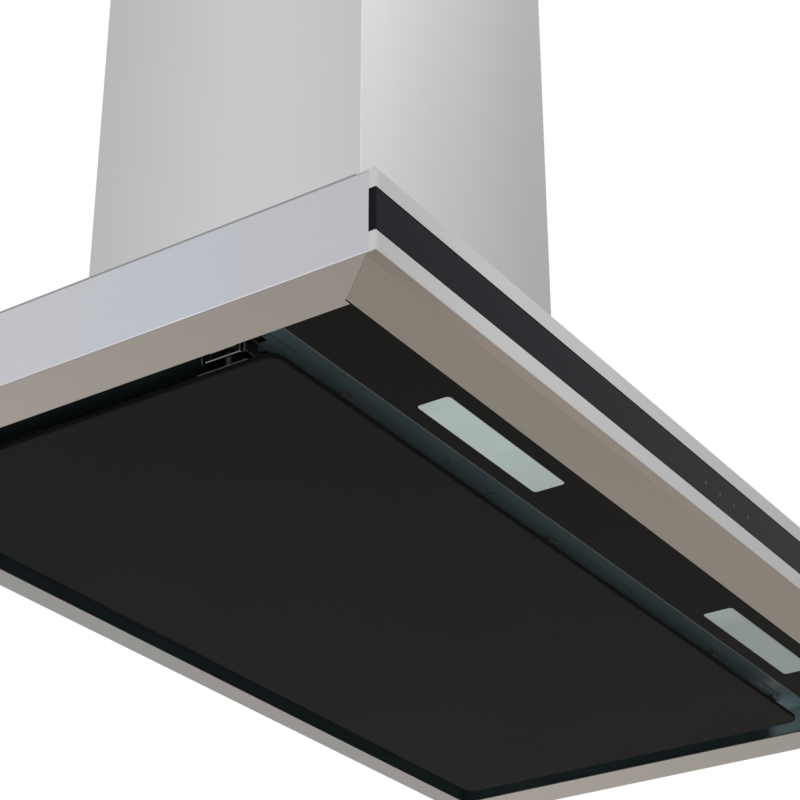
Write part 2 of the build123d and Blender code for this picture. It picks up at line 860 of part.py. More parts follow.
# Hinge pins, fast in the ears
with BuildPart() as hinge_pins:
    pin_half = hinge_span / 2 + hinge_pin_end
    for spot in hinge_spots:
        turned(
            spot - pin_half, spot + pin_half, hinge_pin_radius, Mode.ADD, (hinge_axis_y, hinge_axis_z)
        )
hinge_pins.part.label = "hinge_pins"
export_step(hinge_pins.part, "parts/hinge_pins.step")

# Double roller catches: lipped side walls with a window, end walls and ears under the ceiling
catch_bottom = liner_height - catch_height
catch_spots = (-half_width + catch_inset, half_width - catch_inset)
catch_y = front + catch_line

with BuildPart() as catch_bodies:
    for spot in catch_spots:
        with BuildSketch(Plane.XZ.offset(-catch_y - catch_side / 2)):
            folded(
                [
                    (spot - catch_width / 2 + catch_lip, level(catch_bottom)),
                    (spot - catch_width / 2, level(catch_bottom)),
                    (spot - catch_width / 2, level(liner_height)),
                    (spot + catch_width / 2, level(liner_height)),
                    (spot + catch_width / 2, level(catch_bottom)),
                    (spot + catch_width / 2 - catch_lip, level(catch_bottom)),
                ],
                catch_steel,
                Side.RIGHT,
            )
        extrude(amount=catch_side)
        block(
            (spot - catch_width, spot + catch_width),
            (catch_y - catch_window_length / 2, catch_y + catch_window_length / 2),
            (catch_bottom + catch_steel, catch_bottom + catch_steel + catch_window_height),
            Mode.SUBTRACT,
        )
        block(
            (spot - catch_width / 2, spot + catch_width / 2),
            (catch_y - catch_length / 2 - catch_ear, catch_y + catch_length / 2 + catch_ear),
            (liner_height - catch_steel, liner_height),
        )
        for end in (-1, 1):
            wall = sorted((end * catch_length / 2, end * (catch_length / 2 - catch_steel)))
            block(
                (spot - catch_width / 2, spot + catch_width / 2),
                (catch_y + wall[0], catch_y + wall[1]),
                (catch_bottom, liner_height),
            )
catch_bodies.part.label = "catch_bodies"
export_step(catch_bodies.part, "parts/catch_bodies.step")

# Sprung sliders of the catches: a yoke with a roller, one each side of the tongue, on the lips
slider_bottom = catch_bottom + catch_steel
roller_height = slider_bottom + yoke_margin + roller_radius
yoke_back = roller_gap + 2 * roller_radius + yoke_margin + yoke_steel
yoke_half = catch_width / 2 - catch_steel - yoke_play

for side_name, sign in hand.items():
    spot = sign * (half_width - catch_inset)
    for end_name, end in (("front", -1), ("rear", 1)):
        with BuildPart() as catch_slider:
            axle_y = catch_y + end * (roller_gap + roller_radius)
            back_y = catch_y + end * yoke_back
            turned(
                spot - yoke_half + yoke_steel,
                spot + yoke_half - yoke_steel,
                roller_radius,
                Mode.ADD,
                (axle_y, level(roller_height)),
            )
            nose_y = axle_y - end * yoke_nose_length
            heights = (slider_bottom, roller_height + roller_radius + yoke_margin)
            block(
                (spot - yoke_half, spot + yoke_half),
                sorted((back_y, back_y - end * yoke_steel)),
                heights,
            )
            for cheek in (-yoke_half, yoke_half - yoke_steel):
                block((spot + cheek, spot + cheek + yoke_steel), sorted((nose_y, back_y)), heights)
        catch_slider.part.label = f"catch_slider_{side_name}_{end_name}"
        export_step(catch_slider.part, f"parts/catch_slider_{side_name}_{end_name}.step")

# Strikes on the panel's return: base plate with a spear-shaped tongue between the rollers
with BuildPart() as catch_strikes:
    for spot in catch_spots:
        block(
            (spot - strike_width / 2, spot + strike_width / 2),
            (catch_y - strike_length / 2, catch_y + strike_length / 2),
            (panel_thickness, panel_thickness + strike_steel),
        )
        with BuildSketch(Plane.YZ.offset(spot - tongue_thickness / 2)):
            tongue_top = panel_thickness + tongue_height
            shoulder = tongue_top - tongue_head_height
            with BuildLine():
                Polyline(
                    (catch_y - tongue_foot / 2, level(panel_thickness)),
                    (catch_y + tongue_foot / 2, level(panel_thickness)),
                    (catch_y + tongue_foot / 2, level(panel_thickness + tongue_foot_height)),
                    (catch_y + tongue_neck / 2, level(panel_thickness + tongue_foot_height)),
                    (catch_y + tongue_neck / 2, level(shoulder - tongue_head_height / 4)),
                    (catch_y + tongue_head / 2, level(shoulder + tongue_head_height / 4)),
                    (catch_y + tongue_head / 4, level(tongue_top)),
                    (catch_y - tongue_head / 4, level(tongue_top)),
                    (catch_y - tongue_head / 2, level(shoulder + tongue_head_height / 4)),
                    (catch_y - tongue_neck / 2, level(shoulder - tongue_head_height / 4)),
                    (catch_y - tongue_neck / 2, level(panel_thickness + tongue_foot_height)),
                    (catch_y - tongue_foot / 2, level(panel_thickness + tongue_foot_height)),
                    close=True,
                )
            make_face()
        extrude(amount=tongue_thickness)
catch_strikes.part.label = "catch_strikes"
export_step(catch_strikes.part, "parts/catch_strikes.step")

# Blower chassis: box open at the bottom and front, hung on the wall by its back
rear_wall_plane = Plane.XZ
cover_plane = Plane.XZ.offset(chassis_depth)
chassis_half = chassis_width / 2

with BuildPart() as chassis:
    block((-chassis_half, chassis_half), (-chassis_depth, 0), (canopy_height, chassis_top))
    block(
        (-chassis_half + chassis_sheet, chassis_half - chassis_sheet),
        (-chassis_depth + chassis_sheet, -chassis_sheet),
        (canopy_height + chassis_sheet, chassis_top - chassis_sheet),
        Mode.SUBTRACT,
    )
    block(
        (-throat_width / 2, throat_width / 2),
        (outlet_y - throat_depth / 2, outlet_y + throat_depth / 2),
        (canopy_height, canopy_height + chassis_sheet),
        Mode.SUBTRACT,
    )
    block(
        (-throat_width / 2, throat_width / 2),
        (-chassis_depth, -chassis_depth + chassis_sheet),
        (canopy_height + chassis_flange, chassis_top - chassis_flange),
        Mode.SUBTRACT,
    )
    with Locations(rear_wall_plane):
        with GridLocations(fixing_spacing_x, fixing_spacing_z, 2, 2):
            Hole(fixing_hole_radius, depth=2 * chassis_sheet)
    with Locations(Plane.XY.offset(level(chassis_top))):
        with Locations((0, outlet_y)):
            Hole(collar_opening, depth=2 * chassis_sheet)
chassis.part.label = "chassis"
export_step(chassis.part, "parts/chassis.step")

# Removable front cover of the chassis, stiffened by a pressed frame
with BuildPart() as chassis_cover:
    with BuildSketch(cover_plane):
        with Locations((0, level(canopy_height + chassis_height / 2))):
            RectangleRounded(
                throat_width + 2 * cover_lap,
                chassis_height - 2 * chassis_flange + 2 * cover_lap,
                cover_lap,
            )
    extrude(amount=chassis_sheet)
    with BuildSketch(cover_plane.offset(chassis_sheet)):
        with Locations((0, level(canopy_height + chassis_height / 2))):
            Rectangle(throat_width - 2 * chassis_flange, chassis_height - 4 * chassis_flange)
            Rectangle(
                throat_width - 4 * chassis_flange,
                chassis_height - 6 * chassis_flange,
                mode=Mode.SUBTRACT,
            )
    extrude(amount=2 * chassis_sheet)
chassis_cover.part.label = "chassis_cover"
export_step(chassis_cover.part, "parts/chassis_cover.step")

# Scroll housing: a spiral of three tangent arcs that widens to a mouth under the chassis top
with BuildSketch(Plane.YZ) as scroll_inside:
    with BuildLine():
        start = CenterArc(
            (shaft_y + scroll_growth, shaft_z), scroll_radius - scroll_growth, tongue_angle, -tongue_angle
        )
        CenterArc((shaft_y, shaft_z), scroll_radius, 0, -90)
        wide = CenterArc(
            (shaft_y, shaft_z + scroll_growth), scroll_radius + scroll_growth, -90, -90
        )
        rise = TangentArc(wide @ 1, (shaft_y + mouth_front, mouth_z), tangent=(0, 1))
        mouth = Line(rise @ 1, (shaft_y + mouth_rear, mouth_z))
        Line(mouth @ 1, start @ 0)
    make_face()
    tongue_corner = scroll_inside.vertices().sort_by_distance(start @ 0)[0]
    fillet(tongue_corner, tongue_radius)

with BuildPart() as scroll_half:
    with BuildSketch(Plane.YZ):
        add(scroll_inside.sketch_local)
        offset(amount=scroll_wall)
    extrude(amount=scroll_width / 2)
    with BuildSketch(Plane.YZ):
        with Locations(
            (shaft_y + scroll_radius, shaft_z),
            (shaft_y, shaft_z - scroll_radius),
            (shaft_y + mouth_front, shaft_z + scroll_growth),
            (shaft_y - scroll_radius - scroll_growth, shaft_z + scroll_growth),
        ):
            Rectangle(scroll_lug, scroll_lug)
    extrude(amount=scroll_lug_thickness)
    turned(scroll_width / 2, scroll_width / 2 + inlet_rim_depth, inlet_radius + inlet_rim)
    with BuildSketch(Plane.XY.offset(mouth_z)):
        with Locations((0, outlet_y)):
            Rectangle(
                scroll_width + 2 * mouth_flange,
                mouth_rear - mouth_front + 2 * scroll_wall + 2 * mouth_flange,
            )
    extrude(amount=-scroll_wall)
    with BuildSketch(Plane.YZ):
        add(scroll_inside.sketch_local)
    extrude(amount=scroll_width / 2 - scroll_wall, mode=Mode.SUBTRACT)
    turned(0, scroll_width, inlet_radius, Mode.SUBTRACT)
    split(bisect_by=Plane.YZ, keep=Keep.TOP)
    split(bisect_by=Plane.XY.offset(mouth_z), keep=Keep.BOTTOM)
scroll_half_right = scroll_half.part
scroll_half_left = mirrored(scroll_half_right)
scroll_half_right.label = "scroll_half_right"
export_step(scroll_half_right, "parts/scroll_half_right.step")
scroll_half_left.label = "scroll_half_left"
export_step(scroll_half_left, "parts/scroll_half_left.step")

# Double inlet impeller: forward curved blades through a back plate, a ring at each end
blade_inner = impeller_radius - blade_depth
blade_outer = impeller_radius - 2 * blade_thickness

blade_knee = (blade_inner + blade_outer) / 2

with BuildSketch() as blade:
    folded(
        [
            (blade_inner, 0),
            (blade_knee * cos(radians(knee_sweep)), -blade_knee * sin(radians(knee_sweep))),
            (blade_outer * cos(radians(blade_sweep)), -blade_outer * sin(radians(blade_sweep))),
        ],
        blade_thickness,
        Side.LEFT,
    )

with BuildPart() as impeller:
    with BuildSketch(Plane.YZ.offset(-impeller_width / 2)):
        with Locations((shaft_y, shaft_z)):
            with PolarLocations(0, blade_count):
                add(blade.sketch_local)
    extrude(amount=impeller_width)
    turned(-back_plate / 2, back_plate / 2, impeller_radius)
    turned(-hub_length / 2, hub_length / 2, hub_radius)
    for start_x in (-impeller_width / 2, impeller_width / 2 - ring_thickness):
        with BuildSketch(Plane.YZ.offset(start_x)):
            with Locations((shaft_y, shaft_z)):
                Circle(impeller_radius)
                Circle(blade_inner - blade_thickness, mode=Mode.SUBTRACT)
        extrude(amount=ring_thickness)
    turned(-impeller_width, impeller_width, shaft_radius, Mode.SUBTRACT)
impeller.part.label = "impeller"
export_step(impeller.part, "parts/impeller.step")

# Motor shaft, fast in the impeller's hub and running in the motor
with BuildPart() as motor_shaft:
    turned(-hub_length / 2 - shaft_stub, motor_end + motor_shoulder + shaft_stub, shaft_radius)
motor_shaft.part.label = "motor_shaft"
export_step(motor_shaft.part, "parts/motor_shaft.step")

# Motor, half inside the impeller, carried by three lugs on the bracket
bush_start = scroll_width / 2
bracket_start = bush_start + bush_height
bracket_end = bracket_start + bracket_steel
spokes = [Location((shaft_y, shaft_z, 0), (0, 0, angle)) for angle in bush_angles]

with BuildPart() as motor:
    turned(motor_start, motor_end, motor_radius)
    turned(motor_end, motor_end + motor_shoulder, motor_shoulder_radius)
    with BuildSketch(Plane.YZ.offset(bracket_end)):
        with Locations(*spokes):
            with Locations((motor_lug_radius / 2, 0)):
                Rectangle(motor_lug_radius, motor_lug_width)
    extrude(amount=motor_lug_thickness)
    turned(-motor_end, 2 * motor_end, shaft_radius + shaft_running_gap, Mode.SUBTRACT)
motor.part.label = "motor"
export_step(motor.part, "parts/motor.step")

# Motor bracket: plate round the motor with three arms that reach over the inlet
arm_reach = bracket_reach + arm_width / 2

with BuildPart() as motor_bracket:
    with BuildSketch(Plane.YZ.offset(bracket_start)):
        with Locations(*spokes):
            with Locations((arm_reach / 2, 0)):
                Rectangle(arm_reach, arm_width)
        with Locations(spokes[0]):
            RegularPolygon(bracket_ring, 6, major_radius=False)
            Circle(motor_radius + shaft_running_gap, mode=Mode.SUBTRACT)
    extrude(amount=bracket_steel)
motor_bracket.part.label = "motor_bracket"
export_step(motor_bracket.part, "parts/motor_bracket.step")

# Eight-sided rubber bushes between the scroll's side and the bracket's arms
with BuildPart() as motor_bushes:
    for spot in bush_spots:
        with BuildSketch(Plane.YZ.offset(bush_start)):
            with Locations(spot):
                RegularPolygon(bush_radius, 8)
        extrude(amount=bush_height)
motor_bushes.part.label = "motor_bushes"
export_step(motor_bushes.part, "parts/motor_bushes.step")

# Run capacitor and its clip on the left wall of the chassis
capacitor_x = -chassis_half + chassis_sheet + clip_steel + capacitor_radius
capacitor_low = chassis_top - chassis_sheet - capacitor_top_gap - capacitor_length

with BuildPart() as capacitor:
    with BuildSketch(Plane.XY.offset(level(capacitor_low))):
        with Locations((capacitor_x, -capacitor_back)):
            Circle(capacitor_radius)
    extrude(amount=capacitor_length)
capacitor.part.label = "capacitor"
export_step(capacitor.part, "parts/capacitor.step")

with BuildPart() as capacitor_clip:
    with BuildSketch(Plane.XY.offset(level(capacitor_low + (capacitor_length - clip_height) / 2))):
        folded(
            [
                (capacitor_x + clip_mouth, -capacitor_back - capacitor_radius + clip_turn),
                (capacitor_x + clip_side, -capacitor_back - capacitor_radius),
                (capacitor_x - capacitor_radius, -capacitor_back - capacitor_radius),
                (capacitor_x - capacitor_radius, -capacitor_back + capacitor_radius),
                (capacitor_x + clip_side, -capacitor_back + capacitor_radius),
                (capacitor_x + clip_mouth, -capacitor_back + capacitor_radius - clip_turn),
            ],
            clip_steel,
            Side.LEFT,
        )
    extrude(amount=clip_height)
capacitor_clip.part.label = "capacitor_clip"
export_step(capacitor_clip.part, "parts/capacitor_clip.step")

# Outlet collar: flange, tube for the duct, crossbar and two ledges under the flaps
collar_inner = collar_radius - collar_wall
ledge_reach = collar_inner + collar_wall / 4
ledge_top = chassis_top + ledge_height
flap_pin_height = ledge_top + flap_pin_radius
pocket_half = flap_pin_radius + flap_pin_gap

with BuildPart() as outlet_collar:
    with BuildSketch(Plane.XY.offset(level(chassis_top))):
        with Locations((0, outlet_y)):
            Rectangle(collar_flange, collar_flange)
    extrude(amount=collar_flange_thickness)
    with BuildSketch(Plane.XY.offset(level(chassis_top))):
        with Locations((0, outlet_y)):
            Circle(collar_radius)
    extrude(amount=collar_rise)
    with BuildSketch(Plane.XY.offset(level(chassis_top))):
        with Locations((0, outlet_y)):
            Circle(collar_inner)
    extrude(amount=collar_rise, mode=Mode.SUBTRACT)
    for stop in (-ledge_reach, ledge_radius):
        block(
            (-crossbar_width, crossbar_width),
            (outlet_y + stop, outlet_y + stop + ledge_reach - ledge_radius),
            (ledge_top - ledge_thickness, ledge_top),
        )
    with BuildSketch(Plane.XY.offset(level(ledge_top - ledge_thickness))):
        with Locations((0, outlet_y)):
            Rectangle(2 * collar_inner, crossbar_width)
    extrude(amount=ledge_thickness - crossbar_drop)
    for offset_y in (-flap_pivot_offset, flap_pivot_offset):
        block(
            (-flap_pin_reach - flap_pin_end_gap, flap_pin_reach + flap_pin_end_gap),
            (outlet_y + offset_y - pocket_half, outlet_y + offset_y + pocket_half),
            (flap_pin_height - pocket_half, flap_pin_height + pocket_half),
            Mode.SUBTRACT,
        )
outlet_collar.part.label = "outlet_collar"
export_step(outlet_collar.part, "parts/outlet_collar.step")

# Backdraught flaps: half discs on the ledge, each with a pin along its straight edge
for name, sign in (("front", -1), ("rear", 1)):
    with BuildPart() as damper_flap:
        with BuildSketch(Plane.XY.offset(level(ledge_top))):
            with Locations((0, outlet_y)):
                Circle(flap_radius)
            with Locations((0, outlet_y + sign * (flap_pivot_offset - flap_radius))):
                Rectangle(2 * flap_radius, 2 * flap_radius, mode=Mode.SUBTRACT)
        extrude(amount=flap_thickness)
        pivot = (outlet_y + sign * flap_pivot_offset, level(flap_pin_height))
        turned(-flap_pin_reach, flap_pin_reach, flap_pin_radius, Mode.ADD, pivot)
    damper_flap.part.label = f"damper_flap_{name}"
    export_step(damper_flap.part, f"parts/damper_flap_{name}.step")

# Control box on the chassis top, beside the collar, with its board, lid and cable gland
box_right = chassis_half - box_side_gap
box_x = (box_right - box_width, box_right)
box_y = (-box_front, -box_front + box_length)
box_middle = (sum(box_x) / 2, sum(box_y) / 2)
box_top = chassis_top + box_height
gland_z = level(chassis_top + box_height / 2)
gland_rear = box_y[1]

with BuildPart() as control_box:
    block(box_x, box_y, (chassis_top, box_top))
    block(
        (box_x[0] + box_wall, box_x[1] - box_wall),
        (box_y[0] + box_wall, box_y[1] - box_wall),
        (chassis_top + box_wall, box_top),
        Mode.SUBTRACT,
    )
    with BuildSketch(Plane.XY.offset(level(chassis_top + box_wall))):
        with Locations(box_middle):
            with GridLocations(box_width / 2, box_length * 3 / 4, 2, 2):
                Rectangle(standoff_width, standoff_width)
    extrude(amount=standoff_height)
    with Locations(Location((box_middle[0], gland_rear, gland_z), (90, 0, 0))):
        Hole(gland_thread_radius, depth=2 * box_wall)
control_box.part.label = "control_box"
export_step(control_box.part, "parts/control_box.step")

with BuildPart() as control_board:
    board_low = chassis_top + box_wall + standoff_height
    block(
        (box_x[0] + box_wall + board_margin, box_x[1] - box_wall - board_margin),
        (box_y[0] + box_wall + board_margin, box_y[1] - box_wall - gland_hex_length - board_margin),
        (board_low, board_low + board),
    )
    with BuildSketch(Plane.XY.offset(level(board_low + board))):
        with Locations((box_middle[0], box_middle[1] - box_length / 8)):
            with GridLocations(0, relay_pitch, 1, 3):
                Rectangle(relay_width, relay_depth)
    extrude(amount=relay_height)
control_board.part.label = "control_board"
export_step(control_board.part, "parts/control_board.step")

with BuildPart() as control_box_lid:
    block(box_x, box_y, (box_top, box_top + lid_thickness))
    block(
        (box_x[0] + box_wall + lid_play, box_x[1] - box_wall - lid_play),
        (box_y[0] + box_wall + lid_play, box_y[1] - box_wall - lid_play),
        (box_top - lid_plug, box_top),
    )
    block(
        (box_x[0] + 2 * box_wall, box_x[1] - 2 * box_wall),
        (box_y[0] + 2 * box_wall, box_y[1] - 2 * box_wall),
        (box_top - lid_plug, box_top),
        Mode.SUBTRACT,
    )
control_box_lid.part.label = "control_box_lid"
export_step(control_box_lid.part, "parts/control_box_lid.step")

with BuildPart() as cable_gland:
    gland_plane = Plane.XZ.offset(-gland_rear).shift_origin((box_middle[0], gland_rear, gland_z))
    with BuildSketch(gland_plane):
        Circle(gland_thread_radius)
    extrude(amount=box_wall)
    with BuildSketch(gland_plane.offset(box_wall)):
        RegularPolygon(gland_hex, 6)
    extrude(amount=gland_hex_length / 2)
    with BuildSketch(gland_plane):
        RegularPolygon(gland_hex, 6)
    extrude(amount=-gland_hex_length)
    with BuildSketch(gland_plane.offset(-gland_hex_length)):
        RegularPolygon(gland_cap_radius, 6)
    extrude(amount=-gland_cap_length)
    with BuildSketch(gland_plane.offset(box_wall + gland_hex_length)):
        Circle(gland_bore)
    extrude(amount=-3 * gland_cap_length, mode=Mode.SUBTRACT)
cable_gland.part.label = "cable_gland"
export_step(cable_gland.part, "parts/cable_gland.step")


def flue_cover(half, rear, depth, foot, height):
    """Three-sided flue cover with narrow returns along the wall."""
    with BuildPart() as cover:
        with BuildSketch(Plane.XY.offset(level(foot))):
            folded(
                [
                    (-half + flue_return, rear),
                    (-half, rear),
                    (-half, -depth),
                    (half, -depth),
                    (half, rear),
                    (half - flue_return, rear),
                ],
                flue_sheet,
                Side.LEFT,
            )
        extrude(amount=height)
        front_folds = cover.edges().filter_by(Axis.Z).group_by(Axis.Y)[0]
        fillet(front_folds, flue_corner / 2)
    return cover


# Flue covers: the lower one stands on the canopy, the upper one slides inside it
lower_flue = flue_cover(flue_width / 2, 0, flue_depth, canopy_height, lower_flue_height)
lower_flue.part.label = "lower_flue"
export_step(lower_flue.part, "parts/lower_flue.step")

upper_half = flue_width / 2 - flue_sheet - flue_play
upper_depth = flue_depth - flue_sheet - flue_play
upper_rear = -flue_sheet - flue_rear_play
upper_top = canopy_height + upper_flue_height
upper_flue = flue_cover(upper_half, upper_rear, upper_depth, canopy_height, upper_flue_height)
upper_flue.part.label = "upper_flue"
export_step(upper_flue.part, "parts/upper_flue.step")

# Ceiling bracket: folded strip inside the top of the upper flue cover, slotted for the wall
with BuildPart() as ceiling_bracket:
    arm_x = upper_half - flue_sheet
    with BuildSketch(Plane.XY.offset(level(upper_top - bracket_drop - bracket_height))):
        folded(
            [
                (-arm_x, -bracket_step - bracket_arm),
                (-arm_x, -bracket_step),
                (-bracket_back / 2, -bracket_step),
                (-bracket_back / 2, 0),
                (bracket_back / 2, 0),
                (bracket_back / 2, -bracket_step),
                (arm_x, -bracket_step),
                (arm_x, -bracket_step - bracket_arm),
            ],
            bracket_sheet,
            Side.RIGHT,
        )
    extrude(amount=bracket_height)
    with BuildSketch(Plane.XZ):
        with Locations((0, level(upper_top - bracket_drop - bracket_height / 2))):
            with GridLocations(bracket_slot_pitch, 0, 2, 1):
                SlotOverall(bracket_slot_length, 2 * bracket_slot_radius)
    extrude(amount=2 * bracket_sheet, mode=Mode.SUBTRACT)
ceiling_bracket.part.label = "ceiling_bracket"
export_step(ceiling_bracket.part, "parts/ceiling_bracket.step")
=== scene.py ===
"""Looks of the wall mount range hood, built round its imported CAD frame. Metres, same frame."""

import json
import math

import bmesh
import bpy
from mathutils import Matrix, Vector

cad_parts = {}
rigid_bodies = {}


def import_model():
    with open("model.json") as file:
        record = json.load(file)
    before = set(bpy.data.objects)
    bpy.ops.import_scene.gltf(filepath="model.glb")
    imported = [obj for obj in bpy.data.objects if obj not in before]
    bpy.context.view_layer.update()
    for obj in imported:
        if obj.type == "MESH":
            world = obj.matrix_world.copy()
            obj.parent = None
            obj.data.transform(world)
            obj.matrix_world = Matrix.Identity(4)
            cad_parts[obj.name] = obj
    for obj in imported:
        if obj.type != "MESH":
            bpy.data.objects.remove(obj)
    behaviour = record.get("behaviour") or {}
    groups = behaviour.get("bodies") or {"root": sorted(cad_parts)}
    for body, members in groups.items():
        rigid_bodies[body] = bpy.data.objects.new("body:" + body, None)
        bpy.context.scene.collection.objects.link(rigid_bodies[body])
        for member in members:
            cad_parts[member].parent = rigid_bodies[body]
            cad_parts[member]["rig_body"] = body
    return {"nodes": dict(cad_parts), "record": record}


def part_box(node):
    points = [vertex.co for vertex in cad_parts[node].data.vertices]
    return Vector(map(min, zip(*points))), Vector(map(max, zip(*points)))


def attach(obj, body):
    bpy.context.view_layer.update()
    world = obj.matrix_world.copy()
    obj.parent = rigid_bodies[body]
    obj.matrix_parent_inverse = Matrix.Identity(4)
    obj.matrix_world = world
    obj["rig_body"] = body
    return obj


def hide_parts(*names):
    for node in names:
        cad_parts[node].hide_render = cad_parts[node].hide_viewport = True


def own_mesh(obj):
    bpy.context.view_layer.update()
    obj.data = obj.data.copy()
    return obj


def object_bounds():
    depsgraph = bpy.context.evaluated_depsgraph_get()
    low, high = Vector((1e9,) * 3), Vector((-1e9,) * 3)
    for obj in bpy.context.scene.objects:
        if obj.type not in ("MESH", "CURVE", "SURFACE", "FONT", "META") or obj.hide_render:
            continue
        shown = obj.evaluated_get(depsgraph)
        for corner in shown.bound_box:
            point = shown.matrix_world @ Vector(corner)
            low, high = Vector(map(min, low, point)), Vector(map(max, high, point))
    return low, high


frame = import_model()
cad_low, cad_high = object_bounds()
cad = frame["nodes"]

# Edges of the hood that the finishes follow
canopy_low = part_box("front_rail")[0].z
side_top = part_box("side_panel_left")[1].z
top_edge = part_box("canopy_top")[1].x
glass_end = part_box("glass_strip")[1].x
light_panel_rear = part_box("light_panel")[1].y
panel_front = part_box("perimeter_panel")[0].y
flue_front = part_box("lower_flue")[0].y


class Surface:
    """A principled material whose colour, roughness and relief come from procedural patterns."""

    def __init__(self, name, **constants):
        self.material = bpy.data.materials.new(name)
        self.material.use_nodes = True
        self.tree = self.material.node_tree
        self.shader = self.tree.nodes["Principled BSDF"]
        for socket, value in constants.items():
            self.shader.inputs[socket.replace("_", " ")].default_value = value
        self.place = self.add("ShaderNodeTexCoord").outputs["Object"]

    def add(self, kind, **settings):
        """A new node with its settings."""
        node = self.tree.nodes.new(kind)
        for key, value in settings.items():
            setattr(node, key, value)
        return node

    def feed(self, node, **inputs):
        """Sets or links a node's inputs by name."""
        for key, value in inputs.items():
            socket = node.inputs[key.replace("_", " ")]
            if isinstance(value, bpy.types.NodeSocket):
                self.tree.links.new(value, socket)
            else:
                socket.default_value = value
        return node

    def stretched(self, scale):
        """Object coordinates scaled per axis, in pattern units per metre."""
        node = self.feed(self.add("ShaderNodeMapping"), Vector=self.place, Scale=scale)
        return node.outputs["Vector"]

    def noise(self, scale, detail=3.0, roughness=0.5):
        """Noise from 0 to 1, with one scale or one for each axis."""
        scale = scale if isinstance(scale, tuple) else (scale,) * 3
        node = self.feed(
            self.add("ShaderNodeTexNoise"),
            Vector=self.stretched(scale),
            Scale=1.0,
            Detail=detail,
            Roughness=roughness,
        )
        return node.outputs["Fac"]

    def cells(self, scale, feature="F1", output="Distance"):
        """Cell pattern, as a distance or a colour for each cell."""
        node = self.add("ShaderNodeTexVoronoi", feature=feature)
        self.feed(node, Vector=self.stretched((scale,) * 3), Scale=1.0)
        return node.outputs[output]

    def spread(self, value, low, high, start=0.25, end=0.75):
        """A pattern stretched from start..end to low..high."""
        node = self.add("ShaderNodeMapRange", clamp=True)
        inputs = {"From_Min": start, "From_Max": end, "To_Min": low, "To_Max": high}
        return self.feed(node, Value=value, **inputs).outputs["Result"]

    def blend(self, factor, first, second, mode="MIX"):
        """Colour mixed between two colours by a pattern."""
        node = self.add("ShaderNodeMix", data_type="RGBA", blend_type=mode)
        for index, value in ((0, factor), (6, first), (7, second)):
            if isinstance(value, bpy.types.NodeSocket):
                self.tree.links.new(value, node.inputs[index])
            else:
                node.inputs[index].default_value = value
        return node.outputs[2]

    def mottled(self, pattern, color, low, high):
        """A colour between two shades of itself, by a pattern."""
        return self.blend(self.spread(pattern, 0, 1), shade(color, low), shade(color, high))

    def math(self, operation, *values):
        """A math node's result."""
        node = self.add("ShaderNodeMath", operation=operation)
        for socket, value in zip(node.inputs, values):
            if isinstance(value, bpy.types.NodeSocket):
                self.tree.links.new(value, socket)
            else:
                socket.default_value = value
        return node.outputs[0]

    def along(self, axis):
        """One object coordinate in metres, or its distance from the middle plane for |X|."""
        node = self.feed(self.add("ShaderNodeSeparateXYZ"), Vector=self.place)
        value = node.outputs[axis.strip("|")]
        return self.math("ABSOLUTE", value) if axis.startswith("|") else value

    def finish(self, color, roughness=None, height=None, relief=0.1, depth=0.0001):
        """Links the patterns to the shader and returns the material."""
        self.feed(self.shader, Base_Color=color)
        if roughness is not None:
            self.feed(self.shader, Roughness=roughness)
        if height is not None:
            bump = self.feed(
                self.add("ShaderNodeBump"), Height=height, Strength=relief, Distance=depth
            )
            self.feed(self.shader, Normal=bump.outputs["Normal"])
        return self.material


def shade(color, factor):
    """The same colour, lighter or darker."""
    return (*[min(1.0, c * factor) for c in color], 1.0)


# Colours of the steel, and the scale of its grain
steel = (0.54, 0.54, 0.545)
# Copies of the one stainless, lightened, darkened and tinted for each part: painted light, shade
# and reflection
side_steel = (0.594, 0.605, 0.65)
rail_steel = (0.494, 0.448, 0.395)
fascia_steel = (0.66, 0.66, 0.663)
flue_steel = (0.745, 0.745, 0.75)
# Warm undersides of the side panels and fascia: painted floor reflection
side_floor_reflection = (0.655, 0.622, 0.59, 1)
fascia_floor_reflection = (0.548, 0.485, 0.433, 1)
warm_tint, cool_tint = (1.0, 0.972, 0.962, 1), (0.96, 0.985, 1.0, 1)
grain_along, grain_across = 14.0, 1100.0

# Painted light and shade at folds and edges: axis, start, end and the colour past the end
# Side panels: painted shade under the top fold, and painted floor reflection under the flange
side_edges = [
    ("Z", side_top - 0.0008, side_top - 0.0005, shade(side_steel, 0.6)),
    ("Z", canopy_low + 0.0008, canopy_low + 0.0005, side_floor_reflection),
]
# Fascia: painted highlight on its rounded ends, and painted floor reflection underneath
fascia_edges = [
    ("|X|", glass_end - 0.0028, glass_end - 0.0022, shade(fascia_steel, 1.1)),
    ("Z", canopy_low + 0.0006, canopy_low + 0.0003, fascia_floor_reflection),
]
# Canopy top: painted shade along its outer edges
top_edges = [("|X|", top_edge - 0.0006, top_edge - 0.0003, shade(steel, 0.5))]

# Slopes of light over the finishes: axis, start, end and the level at both
liner_slopes = [
    ("Y", panel_front + 0.033, panel_front + 0.043, 1.0, 0.16),
    ("Y", panel_front - 0.004, panel_front + 0.016, 0.55, 1.0),
]
lens_slopes = [("X", 0.10, 0.16, 1.0, 0.69), ("X", -0.20, -0.14, 1.0, 0.88)]
side_slopes = [("Y", cad_low.y, -0.1, 0.90, 1.0)]
fascia_slopes = [("X", -0.44, -0.31, 0.80, 1.0), ("X", -0.22, 0.3, 1.0, 0.82)]
flue_slopes = [
    ("X", -0.13, 0.12, 1.0, 0.72),
    ("Y", flue_front + 0.001, flue_front + 0.08, 0.925, 1.0),
    ("Y", -0.15, 0.0, 1.0, 0.82),
]


